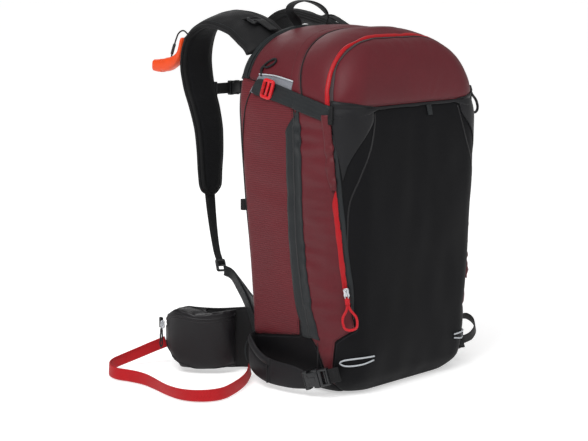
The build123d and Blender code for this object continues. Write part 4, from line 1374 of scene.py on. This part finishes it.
def upright(place, low, high, shares, out, lifts):
    """Points up a line from height low to high, each standing off it by its own lift."""
    return [place + np.array([0, 0, low + (high - low) * q]) + out * lift for q, lift in zip(shares, lifts)]


GROOVE = 0.68
band_rings = []
for place, out in zip(band_line, band_out):
    out = out if out[0] < 0 or out[1] > 0 else -out
    y = place[1]
    low, high = band_low(y), band_high(y)
    share = np.linspace(0, 1, 29)
    groove = np.exp(-((share - GROOVE) / 0.035) ** 2)
    roll = np.where(share > GROOVE, np.sin(np.clip((share - GROOVE) / 0.32, 0, 1) * math.pi), 0)
    body = np.where(share < GROOVE, np.sin(np.clip(share / GROOVE, 0, 1) * math.pi) ** 0.5, 0)
    bar = math.exp(-((y - 19) / 2.2) ** 2)
    front = np.array([1.6 + 1.5 * b + 2.6 * r - 1.1 * g - 0.9 * bar * b for b, r,
                      g in zip(body, roll, groove)])
    front *= np.clip(np.minimum(share, 1 - share) * 14, 0, 1) ** 0.5
    behind = [-0.4 - 1.8 * math.sin(math.pi * q) ** 0.5 for q in share]
    rear = upright(place, low, high, share, out, behind)
    band_rings.append(upright(place, low, high, share, out, front) + rear[-2:0:-1])
band = loft("ski_loop_left_band", band_rings, BLACK_BAND)
both_sides(band, "pack", ["ski_loop_{}"], padded=0.4)
bar_line = [(-193.4, 19, z) for z in (10, 22, 34, 42)]
bar_stitch = tube("ski_loop_left_bartack", bar_line, 1.3, BLACK_CORD, step=3)
both_sides(bar_stitch, "pack")
hairpin = [(-163, 91, 62), (-166, 93, 60), (-172, 91, 50), (-175, 87, 40), (-175, 84, 33), (-171, 83, 31),
           (-169, 84, 38),
           (-166, 87, 48), (-162, 90, 56)]
both_sides(tube("ski_loop_left_cord", hairpin, 1.5, BINDING, step=2.5), "pack")
tail_origin = BUCKLE_START + BUCKLE_AIM * (26.5 + 16)
ski_tail_line = [tail_origin + BUCKLE_AIM * d + BUCKLE_OUT * o for d,
                 o in ((-9, 0.6), (0, 0.2), (8, -1.2), (17, -4))]
ski_tail = swept("ski_tail_left", smooth_line(ski_tail_line, 3), flat_oval(23, 2), BUCKLE_OUT, BLACK_WEB)
loose_line = smooth_line([(164, -86, 35), (168, -95, 38), (177, -103, 44), (189, -102, 54), (196, -92, 65),
                          (193, -80, 72),
                          (183, -72, 71)], 3)
loose_out = unit(loose_line - np.array([180.0, -86, 54]))
ski_tail_right = swept("ski_tail_right", loose_line, flat_oval(23, 2), loose_out, BLACK_WEB)
finished(ski_tail, "ski_plug_left", ["ski_tails"])
finished(ski_tail_right, "ski_plug_right")


# ---- hip belt
wing_line = smooth_line([(-113, 109, 0), (-124, 114.5, 0), (-137, 131, 0), (-166, 156, 0), (-191.5, 193.5, 0),
                         (-204.5, 238.5, 0)], 4)
wing_t = tangents(wing_line)
wing_out = np.stack([-wing_t[:, 1], wing_t[:, 0], wing_t[:, 2]], -1)
WING_TIP = 17
wing_tip = np.linalg.norm(wing_line - wing_line[-1], axis=1)
wing_rings = []
wing_edges = ([], [])
for place, out, gap in zip(wing_line, wing_out, wing_tip):
    low = np.interp(place[1], [98, 120, 205, 240], [14, 7, 8, 26])
    high = np.interp(place[1], [98, 160, 206, 240], [107, 104, 105, 92])
    squeeze = 1 - math.sqrt(max(0, 1 - (1 - min(gap / WING_TIP, 1)) ** 2))
    middle = (low + high) / 2
    low, high = low + (middle - low) * squeeze * 0.75, high + (middle - high) * squeeze * 0.75
    thick = 5.4 * math.sqrt(min(1, gap / 9 + 0.1))
    share = (1 - np.cos(np.linspace(0, math.pi, 25))) / 2
    crown = thick * np.sin(math.pi * share) ** 0.35
    face, rear = (upright(place, low, high, share, out, lifts) for lifts in (crown, -crown))
    wing_rings.append(face + rear[-2:0:-1])
    wing_edges[0].append(face[0])
    wing_edges[1].append(face[-1])
wing = loft("hip_wing_left_pad", wing_rings, BLACK_SOFT)
wing.data.materials.append(MESH)
for index, face in enumerate(wing.data.polygons):
    if index % 48 >= 27 and index % 48 <= 45 and len(face.vertices) == 4:
        face.material_index = 1
both_sides(wing, "hip_wing_{}", ["hip_wing_{}"], padded=0.6)
wing_bound = np.array(wing_edges[0] + wing_edges[1][::-1])
both_sides(tube("hip_wing_left_binding", wing_bound[::3], 2.5, BLACK_WEB, step=4), "hip_wing_{}")


def pocket_shape(co):
    """Dips the pocket's top edge between its ends and lifts its lower front corner."""
    x, y, z = co.T
    high = np.clip((z - 60) / 45, 0, 1)
    dip = np.exp(-((y - 178) / 26) ** 2)
    z = z - 3 * dip * high
    z = z + 9 * np.clip((y - 196) / 40, 0, 1) ** 2 * np.clip((40 - z) / 34, 0, 1)
    return np.stack([x, y, z], -1)


pocket = puffed("hip_pocket_left_pouch", "hip_pocket_left", BLACK_POUCH, shrink=3.0, voxel=4.0, cap=8,
                pressure=5,
                shape=pocket_shape)
pocket_skin = skin_of(pocket)
top_rows = []
for drop, size, depth in ((14, 1.6, -0.3), (19.5, 1.0, -0.4)):
    run = [(-150, 126, 113 - drop), (-175, 136, 109 - drop), (-205, 163, 107 - drop), (-226, 200, 112 - drop),
           (-228, 222, 106 - drop), (-226, 232, 99 - drop)]
    top_rows.append(trim("row", run, size, BLACK_POUCH, pocket_skin, lift=depth, step=3))
seams = joined("hip_pocket_left_zip_flap", top_rows)
low_seam = [(-160, 128, 12), (-185, 140, 11), (-212, 170, 11), (-225, 198, 19), (-226, 220, 34),
            (-226, 234, 52),
            (-225, 237, 74)]
low_roll = trim("hip_pocket_left_seam", low_seam, 1.3, BLACK_CORD, pocket_skin, lift=0.1)
garage = rounded_box((-222.5, 243.2, 77), (0.25, 1, 0), (0, 0, 1), (7, 18, 5), 1.4, BLACK_WEB)
garage.name = "hip_pocket_left_garage"
both_sides(pocket, "hip_wing_{}", ["hip_pocket_{}"], padded=0.5)
for piece in (seams, low_roll, garage):
    both_sides(piece, "hip_wing_{}")

# Belt webbing with its buckle end, sewn across the wing's inner tip.
belt_line = smooth_line([(-205, 243, 60), (-200, 247.2, 60), (-194, 246, 60), (-184, 238, 60),
                         (-174, 220, 60),
                         (-163, 198, 60), (-158, 189, 60)], 4)
belt = swept("hip_buckle_left_web", belt_line, flat_oval(36, 2), np.cross((0, 0, 1), tangents(belt_line)),
             BLACK_WEB)
belt_buckle, spare = release_buckle("hip_left", (-148.5, 189.5, 60), (0.46, -0.89, 0), (0.89, 0.46, 0), 44,
                                    8.5, 22, 14,
                                    PLASTIC)
bpy.data.objects.remove(spare)
belt_buckle.name = "hip_buckle_left_end"
both_sides(belt, "hip_wing_{}")
both_sides(belt_buckle, "hip_wing_{}", ["hip_buckle_{}"])


# ---- zip sliders and pulls
def zip_slider(name, centre, aim, out, length, width, thick, material):
    """A zip slider: a waisted body, a bridge over it and a small pull link at its lower end."""
    aim, out = unit(aim), unit(np.asarray(out, float) - np.dot(out, unit(aim)) * unit(aim))
    side = np.cross(out, aim)
    centre = np.asarray(centre, float)
    rings = []
    for s, w in ((-0.5, 0.30), (-0.46, 0.42), (-0.3, 0.5), (0, 0.42), (0.3, 0.5), (0.46, 0.42), (0.5, 0.30)):
        t = thick * (0.42 if abs(s) == 0.5 else 0.6)
        rings.append([centre + aim * length * s + side * width * w * p + out * (t * 0.5 * q - thick * 0.15)
                      for p, q in squarish(14, 0.5, 0.5)])
    bridge = [centre + aim * length * s + out * thick * h for s, h in
              ((0.38, 0.05), (0.34, 0.42), (0.1, 0.58), (-0.2, 0.56), (-0.36, 0.34), (-0.4, 0.02))]
    low = centre - aim * length * 0.45 + out * thick * 0.25
    link = [low + aim * p + side * q for p, q in ((2.2, 0), (1.4, 2.1), (-1.6, 2.5), (-3.4, 1.2),
                                                  (-3.4, -1.2),
                                                  (-1.6, -2.5), (1.4, -2.1))]
    return joined(name, [loft("body", rings, material),
                         tube("bridge", bridge, width * 0.13, material, step=1.0),
                         tube("link", link, 0.75, material, closed=True, step=1.0)])


CORNER_FOOT = np.array([-154.4, -116.8, 172])
CORNER_HEAD = np.array([-166.1, -100.6, 322])
corner_aim = unit(CORNER_HEAD - CORNER_FOOT)
corner_out = np.array([-0.82, -0.57, 0])
corner_side = unit(np.cross(corner_out, corner_aim))
finished(zip_slider("corner_slider_body", CORNER_FOOT + corner_out * 2.2, corner_aim, corner_out, 14, 9.5, 5,
                    SILVER),
         "corner_slider", ["corner_slider"])
pull_top = CORNER_FOOT + corner_out * 2.6 - corner_aim * 8
finished(loop_pull("corner_pull_cord", pull_top, -corner_aim, corner_side, 51, 22, 2.1, RED_CORD),
         "corner_pull",
         ["corner_pull"])
finished(zip_slider("goggle_slider_body", (171.8, -86.5, 476), (0, 0.16, 1), (1, 0, 0), 14, 9.5, 7.5, SILVER),
         "goggle_slider", ["goggle_slider"])
GOGGLE_HANG = math.radians(65)
goggle_down = unit((math.cos(GOGGLE_HANG), 0, -math.sin(GOGGLE_HANG)))
finished(loop_pull("goggle_pull_cord", (178.5, -86.5, 471), goggle_down,
                   (goggle_down[2] * -1, 0, goggle_down[0]), 50, 17,
                   2.3, BLACK_CORD), "goggle_pull", ["goggle_pull"])
hip_metal = zip_slider("metal", (-229.4, 232, 77), (0.05, 0.1, 1), (-1, 0.15, 0), 13, 9, 5, SILVER)
hip_cord = loop_pull("cord", (-231, 232.5, 70), (0, 0.06, -1), (0, 1, 0), 34, 6, 1.35, BLACK_CORD)
both_sides(joined("hip_slider_left_pull", [hip_metal, hip_cord]), "hip_slider_{}", ["hip_slider_{}"])

# ---- haul loop
haul_line = smooth_line([(-33, 105, 567), (-37, 105, 577), (-49, 105, 588), (-55, 105, 597), (-51, 105, 605),
                         (-38, 105, 610.5), (-18, 105, 612), (6, 105, 607.5), (24, 105, 599), (35, 105, 588),
                         (38, 105, 577), (37, 105, 567)], 3)
haul_t = tangents(haul_line)
haul_out = np.cross(haul_t, (0, -1, 0))
haul_out = np.where((haul_out * (haul_line - (-11, 105, 575))).sum(1, keepdims=True) < 0, -haul_out, haul_out)
along = np.linspace(0, 1, len(haul_line))
turn = np.radians(78) * (np.exp(-(along / 0.17) ** 2) + np.exp(-((1 - along) / 0.13) ** 2))
haul_out = haul_out * np.cos(turn)[:, None] + np.array([0, -1.0, 0]) * np.sin(turn)[:, None]
haul = swept("haul_loop_web", haul_line, flat_oval(15.5, 2.6), haul_out, BLACK_WEB)
finished(haul, "haul_loop", ["haul_loop"])
for x in (-34, 37):
    foot = [(x, 100, 566), (x, 104, 571), (x, 108, 566)]
    finished(swept(f"haul_foot_{'left' if x < 0 else 'right'}", smooth_line(foot, 1.5), flat_oval(15, 2.2),
                   (0, 0, 1),
                   BLACK_WEB))

# ---- sternum strap
STERNUM_Y, STERNUM_Z = 287, 458
for side, name, body, reach in ((-1, "socket", "sternum_socket", 20), (1, "plug", "sternum_plug", 16)):
    line = smooth_line([(side * x, STERNUM_Y + dy, STERNUM_Z) for x,
                        dy in ((59, -0.6), (54, 0), (36, 0.6), (reach, 0))], 4)
    strip = swept(f"sternum_{name}_web", line, flat_oval(19, 2), (0, 1, 0), BLACK_WEB)
    finished(strip, body, [f"sternum_{name}_strap"])
    keeper = rounded_box((side * 55, STERNUM_Y, STERNUM_Z), (1, 0, 0), (0, 0, 1), (7, 25, 6.5), 1.6, PLASTIC)
    keeper.name = f"sternum_{name}_keeper"
    finished(keeper, body)
chest_socket, chest_plug = release_buckle("sternum", (-21.5, STERNUM_Y, STERNUM_Z), (1, 0, 0), (0, 1, 0), 25,
                                          8.6, 22,
                                          14, PLASTIC)
chest_socket.name, chest_plug.name = "sternum_buckle_socket", "sternum_buckle_plug"
finished(chest_socket, "sternum_socket")
finished(chest_plug, "sternum_plug")

# ---- airbag trigger on the left strap
pouch_rings = []
for z in np.linspace(462, 556, 22):
    k = (z - 462) / 94
    near = np.interp(z, [462, 500, 556], [298, 297, 297])
    far = np.interp(z, [462, 470, 548, 556], [309, 318.5, 317, 306])
    half = 13.6 * math.sqrt(max(0.35, 1 - abs(2 * k - 1) ** 6))
    mid, deep = (near + far) / 2, (far - near) / 2
    wob = 0.5 * wobble(z * 0.06, 2.0, 9.0)
    pouch_rings.append([(-STRAP_X + half * p, mid + (deep + wob) * q, z) for p,
                        q in squarish(28, 0.45, 0.55)])
pouch = loft("trigger_pouch_body", pouch_rings, BLACK_PACK)
pouch_skin = skin_of(pouch)
zip_path = [(-90, 322, z) for z in (472, 490, 510, 530, 545)]
welts = [trim("welt", [(x + dx, y, z) for x, y, z in zip_path], 1.0, BINDING, pouch_skin) for dx in (-4, 4)]
pouch_zip = joined("trigger_pouch_zip", [trim("zip", zip_path, 1.2, BLACK_CORD, pouch_skin, 0.3)] + welts)
finished(pouch, "shoulder_strap_left", ["trigger_pouch"], padded=0.5)
finished(pouch_zip, "shoulder_strap_left")

handle_line = smooth_line([(-90, 327, 546), (-90, 330, 533), (-90, 336, 518), (-90, 347, 507),
                           (-90, 360, 501),
                           (-90, 375, 497), (-90, 390, 495.5), (-90, 404, 496)], 1.6)
handle_s = np.linspace(0, 1, len(handle_line))
handle_thick = np.interp(handle_s, [0, 0.05, 0.25, 0.45, 0.62, 0.72, 0.76, 0.80, 0.97, 1.0],
                         [2.6, 3.8, 4.6, 9.0, 11.6, 11.6, 9.0, 11.8, 10.4, 6.2])
handle_wide = np.interp(handle_s, [0, 0.06, 0.3, 0.5, 0.76, 0.97, 1.0], [6.5, 8.2, 8.8, 10.2, 11, 10.6, 7.6])
handle_profile = squarish(28) * np.stack([handle_wide, handle_thick], -1)[:, None]
handle_t = tangents(handle_line)
handle_out = np.stack([handle_t[:, 0], -handle_t[:, 2], handle_t[:, 1]], -1)
handle = swept("trigger_handle_grip", handle_line, handle_profile, handle_out, ORANGE)
finished(handle, "trigger_handle", ["trigger_handle"])
trigger_cord = tube("trigger_cord", [(-90, 316, 552), (-92, 326, 558.5), (-93, 337, 554), (-92.5, 345, 543),
                                     (-92, 351, 531), (-91, 357, 520), (-90, 361, 511)], 1.4, BLACK_CORD,
                    step=2.5)
crimp = tube("trigger_crimp", [(-92.2, 349.5, 534), (-91.5, 354, 526), (-90.8, 358.5, 517)], 2.6, PLASTIC,
             step=2)
finished(crimp, "trigger_handle")
trigger_cord.name = "trigger_cable"
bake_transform(trigger_cord)

# ---- red leg strap, a flat cord on its edge
LEG_ROUTE = [(-205, 251, 40), (-222, 262, 33), (-245, 278, 22), (-270, 288, 14), (-298, 284, 11.5),
             (-322, 262, 11.2),
             (-332, 232, 11.4), (-322, 205, 11.2), (-319, 172, 11.4), (-327, 135, 11.2), (-338, 95, 11.4),
             (-338, 58, 11.2), (-320, 30, 11.4), (-290, 19, 11.2), (-256, 30, 11.4), (-222, 46, 11.2),
             (-190, 66, 11.4), (-157, 96, 11.3)]
route_data = bpy.data.curves.new("leg_route", "CURVE")
route_data.dimensions = "3D"
route_data.resolution_u = 8
route = route_data.splines.new("NURBS")
route.points.add(len(LEG_ROUTE) - 1)
for point, place in zip(route.points, LEG_ROUTE):
    point.co = (*(c / 1000 for c in place), 1)
route.order_u = 3
route.use_endpoint_u = True
route_obj = placed("leg_route", route_data)
bpy.context.view_layer.update()
route_mesh = bpy.data.meshes.new_from_object(route_obj)
leg_line = coordinates(route_mesh) * 1000
bpy.data.objects.remove(route_obj)
bpy.data.meshes.remove(route_mesh)
leg_run = run_along(leg_line)
leg_t = tangents(leg_line)
leg_flat = unit(np.cross(leg_t, (0, 0, 1)))
lean = np.radians(8 * np.sin(leg_run / 70) + 5 * np.sin(leg_run / 31 + 1))
leg_out = leg_flat * np.cos(lean)[:, None] + np.array([0, 0, 1.0]) * np.sin(lean)[:, None]
leg = swept("leg_strap_web", leg_line, flat_oval(19.6, 2.2), leg_out, RED_WEB)
finished(leg, "hip_wing_left", ["leg_strap"])
[c / 1000 for c in LEG_ROUTE[0]]

# ---- what the sack holds
airbag = puffed("airbag_folded", "airbag", RED_CLOTH, shrink=2.5, cap=4)
finished(airbag, replaces=["airbag"], padded=0.4)
for node, material in (("fan_unit", ELECTRONICS), ("frame_sheet", SHEET_PLASTIC), ("frame_stays", ALUMINIUM),
                       ("power_unit", ELECTRONICS), ("trigger_conduit", PLASTIC)):
    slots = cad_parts[node].data.materials
    slots.clear()
    slots.append(material)
low, high = (np.array(corner) * 1000 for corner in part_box("tool_pocket_wall"))
# The lining stops short of the CAD wall at each side, to stay inside the gusset cloth.
LINING_INSET = 6
rows = np.linspace(low[2], high[2], 40)
columns = np.linspace(low[0] + LINING_INSET, high[0] - LINING_INSET, 24)
wall_points = [[(x, low[1] + 1.2 + 0.9 * wobble(x * 0.03, 4, z * 0.02), z) for x in columns]
               for z in rows]
wall = loft("tool_pocket_lining", wall_points, BLACK_PACK, round_ring=False)
thicken = wall.modifiers.new("thickness", "SOLIDIFY")
thicken.thickness = 0.0008
finished(wall, replaces=["tool_pocket_wall"])

# ---- floor, sizes and the end
floor_mesh = bpy.data.meshes.new("floor")
FLOOR_HALF = 60
floor_mesh.from_pydata([(x * FLOOR_HALF, y * FLOOR_HALF, 0) for x, y in ((-1, -1), (1, -1), (1, 1), (-1, 1))],
                       [],
                       [(0, 1, 2, 3)])
floor = placed("floor", floor_mesh)
floor_paint = Nodes("studio_floor")
floor_mesh.materials.append(floor_paint.done((0.78, 0.78, 0.78, 1), 0.8, emission_color=(1, 1, 1, 1),
                                             emission_strength=0.5))
floor.location.z = -0.0006
floor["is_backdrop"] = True
low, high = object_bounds()
{"cad": [list(CAD_BOX[0]), list(CAD_BOX[1])], "visual": [list(low), list(high)]}
